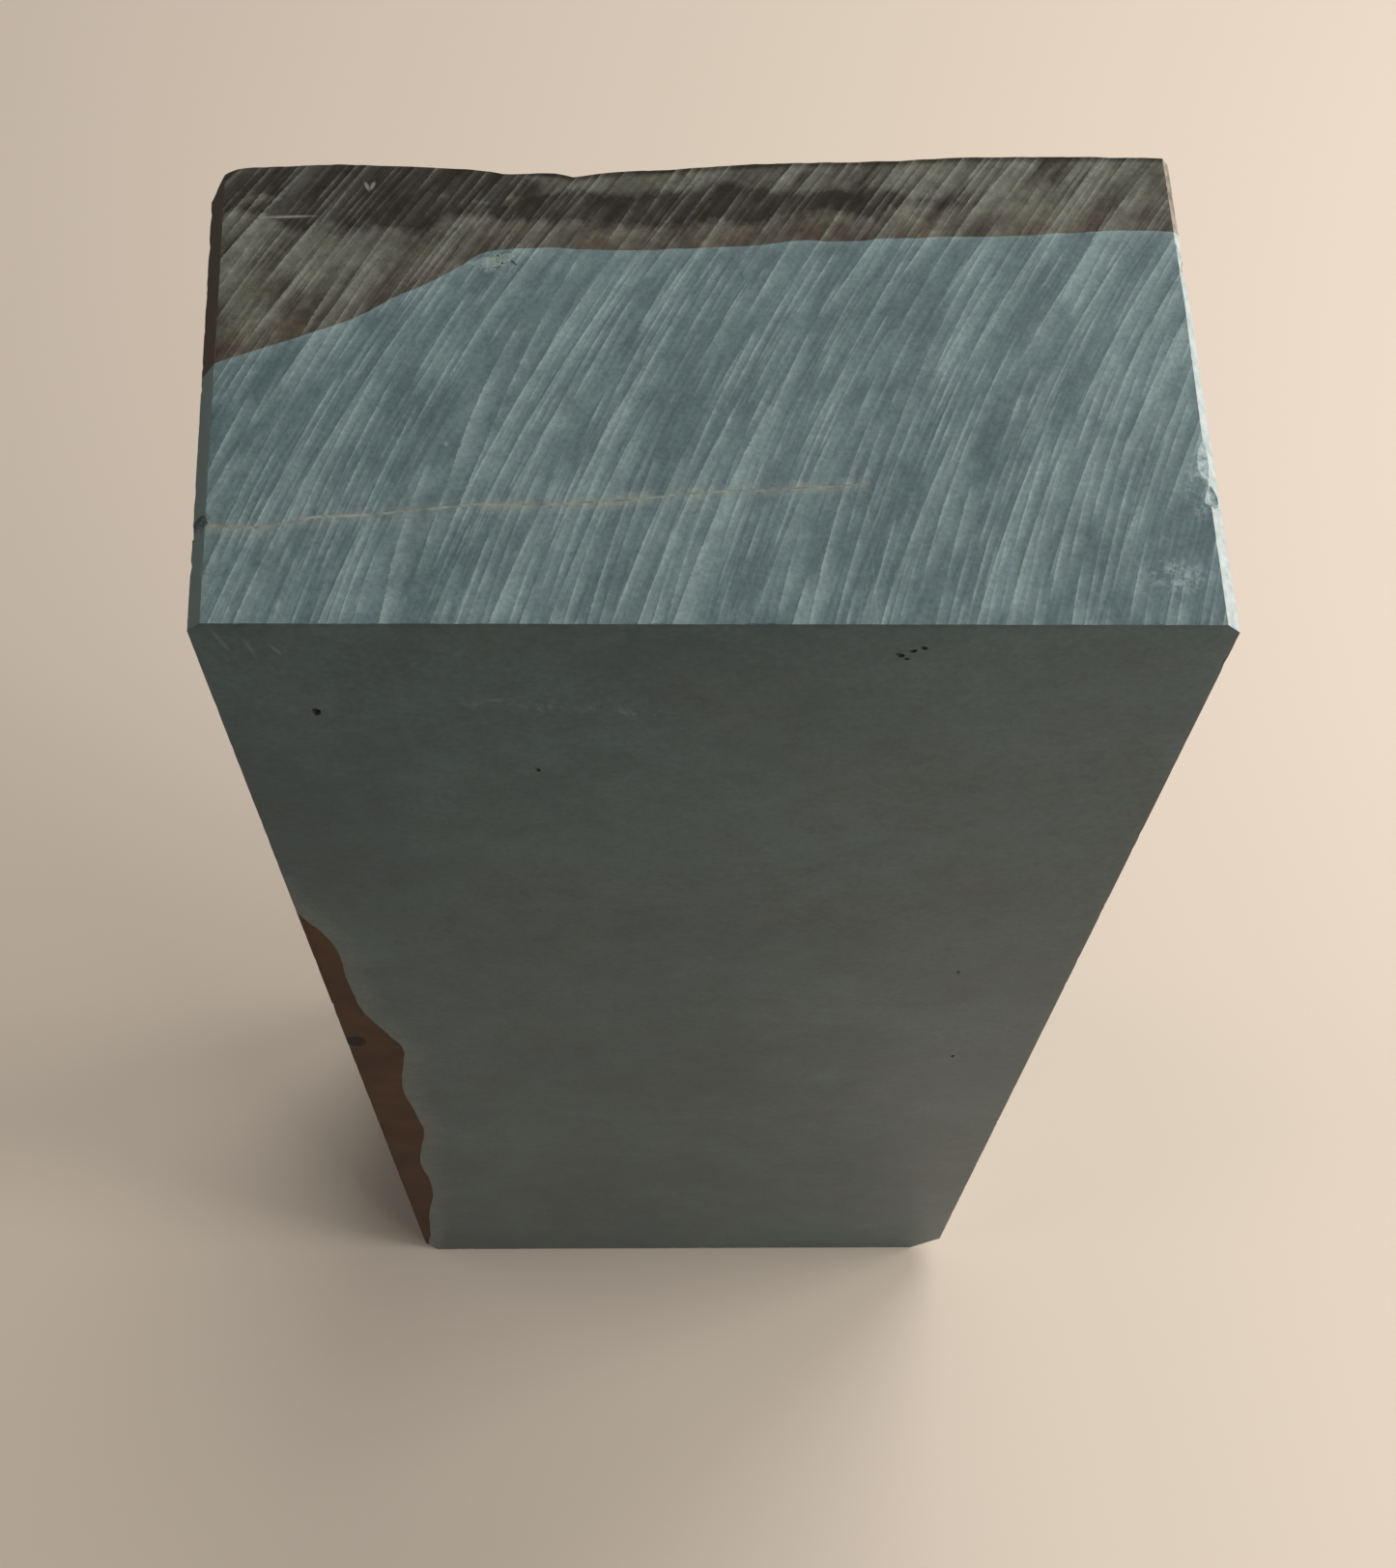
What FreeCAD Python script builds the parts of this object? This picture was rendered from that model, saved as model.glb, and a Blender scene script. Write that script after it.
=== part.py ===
"""Natural sharpening whetstone: one sawn and lapped block of slate, stood on its short end.

The block is a single stone. Each mineral zone of it is a solid of its own, and the zones meet face
to face: the blue honing stone, the rust band and brown rind on its back, a dark streak inside the
rind, the weathered skin, the tan seam, a pale fleck and an iron knot.

Frame, in millimetres: +Z up along the stone's length, the honing face looks along -Y, +X runs across
the width, and the origin is the middle of the foot end.
"""

import FreeCAD, Part
import Sketcher
import os

DOC = FreeCAD.newDocument("whetstone")

# ---------------------------------------------------------------- driving dimensions
SIZES = {
    "stone_width": (82.0, "across the honing face"),
    "stone_depth": (46.0, "honing face to the middle of the natural back"),
    "stone_length": (206.0, "foot end to head end"),
    "left_lean": (1.6, "how far the left side is out of square at the back"),
    "right_lean": (1.3, "how far the right side is out of square at the back"),
    "back_left_rise": (41.75, "honing face to the natural back's left corner"),
    "back_right_rise": (45.9, "honing face to the natural back's right corner"),
    "corner_inset": (1.25, "how far the broken back left corner is cut in"),
    "corner_rise": (2.05, "length of that broken corner along the side"),
    "head_bevel": (1.2, "bevel along the head end's two side edges"),
    "foot_clip_width": (4.0, "bevel at the foot's right edge, across the foot"),
    "foot_clip_rise": (6.0, "bevel at the foot's right edge, up the side"),
    "foot_ease_width": (1.5, "bevel at the foot's left edge, across the foot"),
    "foot_ease_rise": (4.0, "bevel at the foot's left edge, up the side"),
    "skin_depth": (0.8, "thickness of the weathered skin"),
    "rust_across": (1.5, "rust band, measured across the stone"),
    "rust_into": (2.5, "rust band, measured from front to back"),
    "margin": (5.0, "how far the zone forms run past both ends"),
    "seam_gap": (0.35, "thickness of the tan seam"),
    "seam_reach": (60.0, "how deep the seam goes below the head end"),
    "streak_reach": (140.0, "how far the dark streak runs down from the head end"),
    "fleck_long": (1.4, "pale fleck, half its length"),
    "fleck_short": (0.55, "pale fleck, half its width"),
    "fleck_deep": (1.0, "pale fleck, half its depth"),
    "knot_wide": (1.1, "iron knot, half its width"),
    "knot_deep": (1.5, "iron knot, half its depth"),
    "knot_tall": (2.1, "iron knot, half its height"),
    "knot_height": (105.2, "iron knot, above the foot"),
    "knot_side": (-39.7, "iron knot, from the middle of the width"),
    "fleck_side": (-17.4, "pale fleck, from the middle of the width"),
    "fleck_back": (11.95, "pale fleck, from the middle of the depth"),
}

# Natural outlines, millimetres. Each has only the points its shape needs.
BACK_OUTLINE = [
    (-39.6, 21.5), (-31.0, 21.9), (-22.0, 21.6), (-17.4, 21.0), (-14.5, 21.15), (-11.8, 20.75),
    (-7.9, 21.3), (1.3, 22.0), (13.8, 22.6), (26.0, 23.15),
]
BLUE_EDGE = [
    (-60.0, -34.0), (-56.0, -23.0), (-52.0, -10.0), (-46.0, -2.5), (-41.0, 1.0), (-34.7, 3.9),
    (-29.3, 6.1), (-24.6, 8.7), (-20.7, 11.2), (-18.3, 12.7), (-14.3, 13.1), (-7.0, 12.8),
    (0.3, 13.2), (7.7, 14.1), (21.6, 14.4), (38.7, 15.4), (60.0, 16.2), (100.0, 17.2),
]
EDGE_FOOT_X = BLUE_EDGE[1][0]
FRONT_EDGE = [
    (-41.1, -5.0), (-40.5, 3.0), (-38.7, 23.0), (-37.1, 43.0), (-36.4, 60.0), (-35.5, 69.0),
    (-36.1, 83.0), (-34.8, 101.0), (-37.8, 116.0), (-38.4, 131.0), (-39.5, 141.7), (-41.5, 149.0),
    (-48.0, 176.0), (-56.0, 206.0), (-57.4, 211.0),
]
OUTSIDE = {"left": -125.0, "right": 130.0, "back": 40.0}
SEAM_LINE = [(-44.0, -14.7), (-36.3, -14.5), (-30.5, -13.6), (-19.1, -12.5), (-3.0, -11.4), (12.4, -10.2)]
STREAK_FRONT = [(-40.0, 17.0), (-35.0, 15.6), (-27.0, 15.9), (-10.0, 16.3), (6.0, 16.9), (22.0, 17.9)]
STREAK_BACK = [(-40.0, 17.6), (-33.0, 19.8), (-18.0, 17.7), (-2.0, 18.9), (12.0, 19.3), (22.0, 18.3)]

# ---------------------------------------------------------------- sheet and small helpers
SHEET = DOC.addObject("Spreadsheet::Sheet", "Sizes")
for row, (alias, (value, note)) in enumerate(SIZES.items(), start=1):
    SHEET.set(f"A{row}", alias)
    SHEET.set(f"B{row}", str(value))
    SHEET.set(f"C{row}", note)
    SHEET.setAlias(f"B{row}", alias)
DOC.recompute()


def total(terms):
    """The number that a list of (factor, alias) terms adds up to."""
    return sum(factor * SHEET.get(alias) for factor, alias in terms)


def formula(terms):
    """The same terms as an expression on the sheet."""
    return " + ".join(f"({factor}) * Sizes.{alias}" for factor, alias in terms)


def new_body(name):
    body = DOC.addObject("PartDesign::Body", name)
    body.Label = name
    return body


def sketch_on(body, role, name, raised=()):
    """A sketch on one of the body's origin planes, raised along the plane's normal by terms."""
    sketch = body.newObject("Sketcher::SketchObject", name)
    plane = next(item for item in body.Origin.OriginFeatures if item.Role == role)
    sketch.AttachmentSupport = [(plane, "")]
    sketch.MapMode = "FlatFace"
    if raised:
        sketch.setExpression(".AttachmentOffset.Base.z", formula(raised))
    return sketch


def vector(point):
    return FreeCAD.Vector(point[0], point[1], 0)


def add_spline(sketch, points, closed=False):
    """A smooth curve through the points; returns its number in the sketch."""
    curve = Part.BSplineCurve()
    curve.interpolate([vector(point) for point in points], closed)
    return sketch.addGeometry(curve, False)


def add_line(sketch, start, end):
    return sketch.addGeometry(Part.LineSegment(vector(start), vector(end)), False)


def close_outline(sketch, edges):
    """The end of each edge meets the start of the next, all the way round."""
    for first, second in zip(edges, edges[1:] + edges[:1]):
        sketch.addConstraint(Sketcher.Constraint("Coincident", first, 2, second, 1))


def tie_end(sketch, edge, end, across, along):
    """Ties an edge's end to terms, measured from the sketch's origin."""
    for kind, terms in (("DistanceX", across), ("DistanceY", along)):
        rule = Sketcher.Constraint(kind, -1, 1, edge, end, total(terms))
        number = sketch.addConstraint(rule)
        sketch.setExpression(f"Constraints[{number}]", formula(terms))


def pad(body, sketch, name, length, reverse=False):
    feature = body.newObject("PartDesign::Pad", name)
    feature.Profile = sketch
    feature.setExpression("Length", formula(length))
    feature.Reversed = reverse
    return feature


def edge_near(shape, place):
    """The name of the straight edge whose middle is nearest to a place."""
    target = FreeCAD.Vector(*place)
    straight = [
        (edge.valueAt((edge.FirstParameter + edge.LastParameter) / 2).distanceToPoint(target), number)
        for number, edge in enumerate(shape.Edges, start=1)
    ]
    return f"Edge{min(straight)[1]}"


def bevel(body, base, name, place, across, rise):
    """Cuts one edge back by one size along each of its two faces."""
    feature = body.newObject("PartDesign::Chamfer", name)
    feature.Base = (base, [edge_near(base.Shape, place)])
    feature.ChamferType = "Two distances"
    feature.setExpression("Size", formula([(1.0, rise)]))
    feature.setExpression("Size2", formula([(1.0, across)]))
    DOC.recompute()
    return feature


def boolean(kind, name, **inputs):
    """A Part boolean object of DOC, with its inputs set by property name."""
    result = DOC.addObject(f"Part::{kind}", name)
    result.Label = name
    for key, value in inputs.items():
        setattr(result, key, value)
    return result


def common(name, *shapes):
    return boolean("MultiCommon", name, Shapes=list(shapes))


def cut(name, base, tool):
    return boolean("Cut", name, Base=base, Tool=tool)


# ---------------------------------------------------------------- the whole block
HALF_WIDTH = [(0.5, "stone_width")]
LEFT = [(-0.5, "stone_width")]
FRONT = [(-0.5, "stone_depth")]


def whole_block():
    """The sawn block: lapped front, two sawn sides a little out of square, natural back."""
    body = new_body("whole_block")
    outline = sketch_on(body, "XY_Plane", "block_outline")
    front_left = (total(LEFT), total(FRONT))
    front_right = (total(HALF_WIDTH), total(FRONT))
    back_right_x = HALF_WIDTH + [(-1.0, "right_lean")]
    back_right_y = FRONT + [(1.0, "back_right_rise")]
    corner_x = LEFT + [(-1.0, "left_lean")]
    corner_y = FRONT + [(1.0, "back_left_rise")]
    broken_x = corner_x + [(1.0, "corner_inset")]
    broken_y = corner_y + [(1.0, "corner_rise")]
    back_right = (total(back_right_x), total(back_right_y))
    corner = (total(corner_x), total(corner_y))
    broken = (total(broken_x), total(broken_y))
    front = add_line(outline, front_left, front_right)
    right = add_line(outline, front_right, back_right)
    back = add_spline(outline, [back_right] + BACK_OUTLINE[::-1] + [broken])
    chip = add_line(outline, broken, corner)
    left = add_line(outline, corner, front_left)
    close_outline(outline, [front, right, back, chip, left])
    tie_end(outline, front, 1, LEFT, FRONT)
    tie_end(outline, front, 2, HALF_WIDTH, FRONT)
    tie_end(outline, right, 2, back_right_x, back_right_y)
    tie_end(outline, chip, 1, broken_x, broken_y)
    tie_end(outline, chip, 2, corner_x, corner_y)
    block = pad(body, outline, "block_pad", [(1.0, "stone_length")])
    DOC.recompute()
    side = total(HALF_WIDTH)
    head = SHEET.get("stone_length")
    feature = bevel(body, block, "foot_clip", (side, 0, 0), "foot_clip_width", "foot_clip_rise")
    feature = bevel(body, feature, "foot_ease", (-side, 0, 0), "foot_ease_width", "foot_ease_rise")
    feature = bevel(body, feature, "head_bevel_right", (side, 0, head), "head_bevel", "head_bevel")
    bevel(body, feature, "head_bevel_left", (-side, 0, head), "head_bevel", "head_bevel")
    return body


# ---------------------------------------------------------------- zone forms
def rind_form(name, across=(), into=()):
    """Everything behind the blue stone's natural boundary, moved by terms.

    The boundary's plan is one curve, and it shifts sideways down the stone along the line that
    the brown patch draws on the honing face.
    """
    body = new_body(name)
    shift = FRONT_EDGE[0][0] - EDGE_FOOT_X
    outline = sketch_on(body, "XY_Plane", name + "_outline", [(-1.0, "margin")])
    shift_x = shift + total(across)
    shift_y = total(into)
    edge_points = [(x + shift_x, y + shift_y) for x, y in BLUE_EDGE]
    start, end = edge_points[0], edge_points[-1]
    corners = [
        end, (OUTSIDE["right"], end[1]), (OUTSIDE["right"], OUTSIDE["back"]),
        (OUTSIDE["left"], OUTSIDE["back"]), (OUTSIDE["left"], start[1]), start,
    ]
    edges = [add_spline(outline, edge_points)]
    edges += [add_line(outline, a, b) for a, b in zip(corners, corners[1:])]
    close_outline(outline, edges)
    path = sketch_on(body, "XZ_Plane", name + "_path")
    add_spline(path, FRONT_EDGE)
    sweep = body.newObject("PartDesign::AdditivePipe", name + "_sweep")
    sweep.Profile = outline
    sweep.Spine = path
    sweep.Mode = "Fixed"
    return body


def skin_form():
    """Everything behind the inner face of the weathered skin."""
    body = new_body("skin_form")
    outline = sketch_on(body, "XY_Plane", "skin_outline")
    depth = SHEET.get("skin_depth")
    half = total(HALF_WIDTH)
    left_y = total(FRONT) + SHEET.get("back_left_rise")
    right_y = total(FRONT) + SHEET.get("back_right_rise")
    skin_face = [(-half - depth, left_y)] + BACK_OUTLINE + [(half + depth, right_y)]
    inner = [(x, y - depth) for x, y in skin_face]
    start, end = inner[0], inner[-1]
    corners = [
        end, (end[0], OUTSIDE["back"]), (OUTSIDE["left"], OUTSIDE["back"]),
        (OUTSIDE["left"], start[1]), start,
    ]
    edges = [add_spline(outline, inner)]
    edges += [add_line(outline, a, b) for a, b in zip(corners, corners[1:])]
    close_outline(outline, edges)
    pad(body, outline, "skin_pad", [(1.0, "stone_length")])
    return body


def sheet_form(name, near_side, far_side, reach):
    """A thin sheet between two curves in plan, from the head end down by reach."""
    body = new_body(name)
    outline = sketch_on(body, "XY_Plane", name + "_outline", [(1.0, "stone_length")])
    near = add_spline(outline, near_side)
    tip = add_line(outline, near_side[-1], far_side[-1])
    far = add_spline(outline, far_side[::-1])
    mouth = add_line(outline, far_side[0], near_side[0])
    close_outline(outline, [near, tip, far, mouth])
    pad(body, outline, name + "_pad", [(1.0, reach)], reverse=True)
    return body


def pebble(name, centre, radii):
    """An ellipsoid whose radii across, front to back and up are sheet cells."""
    form = DOC.addObject("Part::Ellipsoid", name)
    form.Label = name
    up, across, into = radii
    form.setExpression("Radius1", f"Sizes.{up}")
    form.setExpression("Radius2", f"Sizes.{across}")
    form.setExpression("Radius3", f"Sizes.{into}")
    for axis, terms in zip("xyz", centre):
        form.setExpression(f".Placement.Base.{axis}", formula(terms))
    return form


# ---------------------------------------------------------------- the stone's zones
block = whole_block()
rind = rind_form("rind_form")
rind_inside = rind_form("rind_inside_form", [(-1.0, "rust_across")], [(1.0, "rust_into")])
skin = skin_form()
seam_gap = SHEET.get("seam_gap")
seam = sheet_form("seam_form", SEAM_LINE, [(x, y + seam_gap) for x, y in SEAM_LINE], "seam_reach")
streak = sheet_form("streak_form", STREAK_FRONT, STREAK_BACK, "streak_reach")
fleck = pebble(
    "fleck_form",
    ([(1.0, "fleck_side")], [(1.0, "fleck_back")], [(1.0, "stone_length")]),
    ("fleck_deep", "fleck_long", "fleck_short"),
)
knot = pebble(
    "knot_form",
    ([(1.0, "knot_side")], FRONT, [(1.0, "knot_height")]),
    ("knot_tall", "knot_wide", "knot_deep"),
)

without_skin = cut("without_skin", block, skin)
blue_whole = cut("blue_whole", without_skin, rind)
blue_slotted = cut("blue_slotted", blue_whole, seam)
rind_whole = common("rind_whole", without_skin, rind)
rind_core = common("rind_core", rind_whole, rind_inside)
rind_open = cut("rind_open", rind_core, streak)

ZONES = [
    cut("blue_stone", blue_slotted, fleck),
    common("seam_fill", blue_whole, seam),
    common("pale_fleck", blue_whole, fleck),
    cut("rust_band", rind_whole, rind_inside),
    cut("brown_rind", rind_open, knot),
    common("dark_streak", rind_core, streak),
    common("iron_knot", rind_core, knot),
    common("back_skin", block, skin),
]
DOC.recompute()

# ---------------------------------------------------------------- checks and export
failed = [item.Label for item in DOC.Objects if "Invalid" in item.State or "Error" in item.State]
if failed:
    raise RuntimeError("objects that did not recompute: " + ", ".join(failed))
os.makedirs("parts", exist_ok=True)
for zone in ZONES:
    if zone.Shape.isNull() or not zone.Shape.isValid() or not zone.Shape.Solids:
        raise RuntimeError(zone.Label + " has no valid solid")
    zone.Shape.exportStep(f"parts/{zone.Label}.step")
    box = zone.Shape.BoundBox
    print(
        f"{zone.Label:12s} solids {len(zone.Shape.Solids)} volume {zone.Shape.Volume:10.1f}"
        f"  x {box.XMin:7.2f} {box.XMax:7.2f}  y {box.YMin:7.2f} {box.YMax:7.2f}"
        f"  z {box.ZMin:7.2f} {box.ZMax:7.2f}"
    )
whole = block.Shape.Volume
print(f"zones {sum(zone.Shape.Volume for zone in ZONES):.1f} of the block's {whole:.1f} cubic mm")
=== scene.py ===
"""Looks of a natural sharpening whetstone, built around its CAD zones.

The stone is one sawn block of slate standing on its short end. The whole block is shaped once as a
closed mesh, chipped and pitted, and then cut along its natural boundaries into the zones of the CAD
model, so that neighbours meet exactly. Shapes are worked out in millimetres and turned to metres
when a piece is finished.
"""

import math

import bmesh
import bpy
import numpy as np
from mathutils import Euler, Matrix, Vector, noise


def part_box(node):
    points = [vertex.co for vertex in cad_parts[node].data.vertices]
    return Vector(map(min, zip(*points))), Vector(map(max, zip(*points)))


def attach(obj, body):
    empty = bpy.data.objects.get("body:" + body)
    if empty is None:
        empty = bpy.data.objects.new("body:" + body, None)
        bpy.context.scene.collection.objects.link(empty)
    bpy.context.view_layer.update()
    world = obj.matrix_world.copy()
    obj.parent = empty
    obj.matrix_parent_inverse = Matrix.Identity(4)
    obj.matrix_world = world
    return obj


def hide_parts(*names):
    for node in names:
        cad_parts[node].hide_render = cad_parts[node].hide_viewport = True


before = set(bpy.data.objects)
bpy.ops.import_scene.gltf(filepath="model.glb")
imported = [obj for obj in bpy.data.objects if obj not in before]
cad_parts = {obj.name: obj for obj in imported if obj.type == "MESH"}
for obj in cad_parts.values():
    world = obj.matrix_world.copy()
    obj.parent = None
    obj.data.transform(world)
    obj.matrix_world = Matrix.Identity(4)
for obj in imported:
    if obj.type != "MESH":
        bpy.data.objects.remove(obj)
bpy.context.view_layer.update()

bl_info = {
    "name": "Natural whetstone",
    "version": (1, 0, 0),
    "blender": (4, 5, 0),
    "location": "3D View > Sidebar > Whetstone",
    "description": "Shapes and finishes a block of natural honing slate, zone by zone",
    "category": "Add Mesh",
}

MM = 0.001
BODY = "root"


def box_mm(node):
    """A CAD node's lowest and highest corners, in millimetres."""
    low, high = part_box(node)
    return np.array(low) / MM, np.array(high) / MM


# ------------------------------------------------------------------ sizes, in millimetres
BLUE_LOW, BLUE_HIGH = box_mm("blue_stone")
SKIN_LOW, SKIN_HIGH = box_mm("back_skin")
LENGTH = BLUE_HIGH[2]
FRONT_Y = BLUE_LOW[1]
BACK_Y = -FRONT_Y
DEPTH = BACK_Y - FRONT_Y
HALF_WIDTH = 41.0
LEFT_LEAN = -HALF_WIDTH - SKIN_LOW[0]
RIGHT_LEAN = 1.3
HEAD_BEVEL = (1.2, 1.2)
# Share of the right head bevel's width that was ground, by distance into the stone.
BEVEL_SHARE = ((FRONT_Y, -10.0, 8.0, BACK_Y), (1.0, 0.85, 0.5, 0.45))
FOOT_CLIP = (4.0, 6.0)
FOOT_EASE = (1.5, 4.0)

# Natural outlines in plan and on the honing face: only the points their shapes need.
BACK_OUTLINE = [
    (-42.6, 18.75), (-41.35, 20.8), (-39.6, 21.5), (-36.0, 21.7), (-31.0, 21.9), (-22.0, 21.6),
    (-18.9, 21.25), (-17.4, 21.0), (-14.5, 21.15), (-12.3, 20.9), (-11.8, 20.7), (-10.0, 21.0),
    (-7.9, 21.3), (-3.7, 21.55), (1.3, 22.0), (7.5, 22.4), (13.8, 22.6), (22.0, 23.1),
    (30.5, 23.2), (38.6, 23.25), (39.3, 23.05), (41.5, 22.3),
]
BLUE_EDGE = [
    (-60.0, -34.0), (-56.0, -23.0), (-52.0, -10.0), (-46.0, -2.5), (-41.0, 1.0), (-37.0, 3.0),
    (-34.7, 3.9), (-32.4, 4.7), (-29.3, 6.1), (-27.0, 7.5), (-24.65, 8.7), (-22.7, 9.85),
    (-20.7, 11.2), (-19.2, 12.4), (-17.5, 12.9), (-14.3, 13.1), (-11.0, 13.0), (-7.0, 12.8),
    (-2.9, 12.9), (0.3, 13.2), (4.4, 13.6), (7.7, 14.15), (13.4, 14.1), (21.6, 14.4),
    (28.2, 14.8), (34.8, 15.2), (40.0, 15.45), (60.0, 16.2), (100.0, 17.2),
]
FRONT_EDGE = [
    (-41.1, -6.0), (-40.5, 3.0), (-39.6, 10.5), (-38.7, 23.0), (-37.3, 34.7), (-37.0, 43.0),
    (-37.5, 50.9), (-36.4, 60.0), (-35.5, 68.9), (-36.15, 81.5), (-36.0, 90.8), (-34.7, 101.4),
    (-35.75, 107.2), (-37.8, 115.8), (-38.3, 126.7), (-38.5, 135.8), (-39.5, 141.7),
    (-41.0, 146.5), (-48.0, 176.0), (-56.0, 206.0), (-57.4, 212.0),
]
EDGE_FOOT_X = BLUE_EDGE[1][0]
RUST_SHIFT = (-1.5, 2.5)
SEAM_LINE = [
    (-44.0, -14.5), (-40.6, -14.3), (-36.3, -14.55), (-33.5, -13.95), (-30.5, -13.5),
    (-25.2, -13.0), (-19.1, -12.4), (-10.7, -12.15), (-3.0, -11.3), (4.6, -10.8), (12.4, -10.1),
]
SEAM_REACH = 60.0
STREAK_FRONT = [
    (-40.0, 17.0), (-35.0, 15.6), (-27.0, 15.9), (-18.0, 16.4), (-10.0, 16.2), (6.0, 16.8),
    (22.0, 17.9),
]
STREAK_BACK = [
    (-40.0, 17.6), (-33.0, 19.8), (-25.0, 19.3), (-18.0, 17.6), (-10.0, 18.8), (-2.0, 19.0),
    (12.0, 19.3), (22.0, 18.3),
]
STREAK_REACH = 140.0

# Spacing of the block's mesh lines up its length, and how close counts as being on a face.
UP_STEP = 1.3
NEARLY = 0.01

# Angles between faces, in degrees: edges this sharp get a worn round, round edges this sharp get
# nibbles, and finished edges this sharp are shaded as edges.
SHARP_EDGE = 28
WORN_EDGE = 12
SHADED_EDGE = 32

# Where the centre of the saw blade ran, from front to back.
SAW_CENTRE_Y = -68.0


# ------------------------------------------------------------------ what a user may change
def linear(code):
    """An sRGB hex colour as linear red, green and blue."""
    parts = [int(code[i : i + 2], 16) / 255 for i in (1, 3, 5)]
    return tuple(c / 12.92 if c <= 0.04045 else ((c + 0.055) / 1.055) ** 2.4 for c in parts)


COLOURS = {
    "blue_dark": ("#3f5152", "Sawn blue slate where it is bare"),
    "blue_light": ("#506163", "Sawn blue slate with a thin film of dust"),
    "blue_dust": ("#778986", "Stone dust pressed into the saw strokes of the blue slate"),
    "blue_scratch": ("#a0aeab", "Brightest saw scratches in the blue slate"),
    "lapped_dark": ("#354a4c", "Lapped blue slate"),
    "lapped_light": ("#435859", "Cloudy patches of the lapped slate"),
    "lapped_stain": ("#524f46", "Faint brown stains of the lapped slate"),
    "lapped_halo": ("#59635c", "Paler rim of the lapped slate beside the brown stone"),
    "rind_dark": ("#292419", "Sawn grey-brown rind"),
    "rind_light": ("#4d4b3e", "Paler patches of the rind"),
    "rust_dark": ("#2f2920", "Rust band beside the blue slate"),
    "rust_light": ("#463c2f", "Paler patches of the rust band"),
    "rind_dust": ("#727267", "Stone dust in the saw strokes of the rind"),
    "rind_scratch": ("#8e8f82", "Brightest saw scratches in the rind"),
    "streak": ("#1e180e", "Dark mineral streak"),
    "lapped_rust_dark": ("#412a1a", "Lapped brown stone"),
    "lapped_rust_light": ("#523722", "Paler patches of the lapped brown stone"),
    "skin_dark": ("#2c251d", "Weathered skin"),
    "skin_light": ("#584838", "Rusty patches of the skin"),
    "skin_pale": ("#6f6a5a", "Dusty spots of the skin"),
    "seam_dark": ("#5b5d54", "Tan seam"),
    "seam_light": ("#84877c", "Paler grains of the seam"),
    # Partly painted highlight: the ground bevels are pale with stone dust, and painted paler still so that
    # the right ones look brightly lit.
    "ground_dust_highlight_dark": ("#99a19e", "Ground bevels of the blue slate"),
    "ground_dust_highlight_light": ("#b3b9b5", "Dustiest parts of the ground bevels"),
    "ground_brown_dust_highlight_dark": ("#655e52", "Ground bevels of the brown layers"),
    "ground_brown_dust_highlight_light": ("#968c7c", "Dustiest parts of the brown bevels"),
    # Painted shade: the left ground bevels are given these darker colours.
    "ground_painted_shade": ("#6c7974", "Ground bevel of the blue slate where it was wiped clean"),
    "ground_brown_painted_shade": ("#4a4034", "Ground bevel of the brown layers where it was wiped clean"),
    "fleck_dark": ("#64736d", "Pale fleck"),
    "fleck_light": ("#808d85", "Brightest grains of the fleck"),
    "knot_dark": ("#100a07", "Iron knot"),
    "knot_light": ("#261a12", "Rusty rim of the knot"),
}


class WHETSTONE_PG_sizes(bpy.types.PropertyGroup):
    """Sizes of the stone's fine shape"""

    mesh_step: bpy.props.FloatProperty(
        name="Mesh step", description="Spacing of the block's mesh across and into the stone",
        default=0.5 * MM, min=0.3 * MM, max=3 * MM, precision=5, unit="LENGTH")
    edge_wear: bpy.props.FloatProperty(
        name="Edge wear", description="Width of the worn round along sharp edges",
        default=0.13 * MM, min=0.02 * MM, max=0.4 * MM, precision=5, unit="LENGTH")
    skin_depth: bpy.props.FloatProperty(
        name="Skin depth", description="Thickness of the weathered skin on the natural back",
        default=0.8 * MM, min=0.3 * MM, max=2 * MM, precision=5, unit="LENGTH")
    seam_width: bpy.props.FloatProperty(
        name="Seam width", description="Widest opening of the tan seam",
        default=0.2 * MM, min=0.1 * MM, max=1 * MM, precision=5, unit="LENGTH")
    saw_radius: bpy.props.FloatProperty(
        name="Saw radius", description="Radius of the arcs that the saw blade left",
        default=155 * MM, min=100 * MM, max=600 * MM, unit="LENGTH")


class WHETSTONE_PG_colours(bpy.types.PropertyGroup):
    """Colours of the stone's zones and finishes"""

    __annotations__ = {
        key: bpy.props.FloatVectorProperty(
            name=key.replace("_", " ").capitalize(), description=text, default=linear(code),
            min=0.0, max=1.0, subtype="COLOR")
        for key, (code, text) in COLOURS.items()
    }


class WHETSTONE_PG_stage(bpy.types.PropertyGroup):
    """Floor, lights and camera"""

    floor: bpy.props.FloatVectorProperty(
        name="Floor", description="Colour of the floor", default=linear("#d7c7b5"),
        min=0.0, max=1.0, subtype="COLOR")
    light: bpy.props.FloatProperty(
        name="Light", description="Strength of all the lights together", default=1.0, min=0.0)
    room: bpy.props.FloatProperty(
        name="Room", description="Brightness of the room around the stone", default=0.05, min=0.0)
    lens: bpy.props.FloatProperty(
        name="Lens", description="Focal length of the camera, in millimetres", default=50.74,
        min=10.0, max=300.0, unit="CAMERA")


def size(name):
    """A size from the panel, in millimetres."""
    return getattr(bpy.context.scene.whetstone_sizes, name) / MM


def paint(name):
    """A colour from the panel, with full alpha."""
    return (*getattr(bpy.context.scene.whetstone_colours, name), 1.0)


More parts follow.
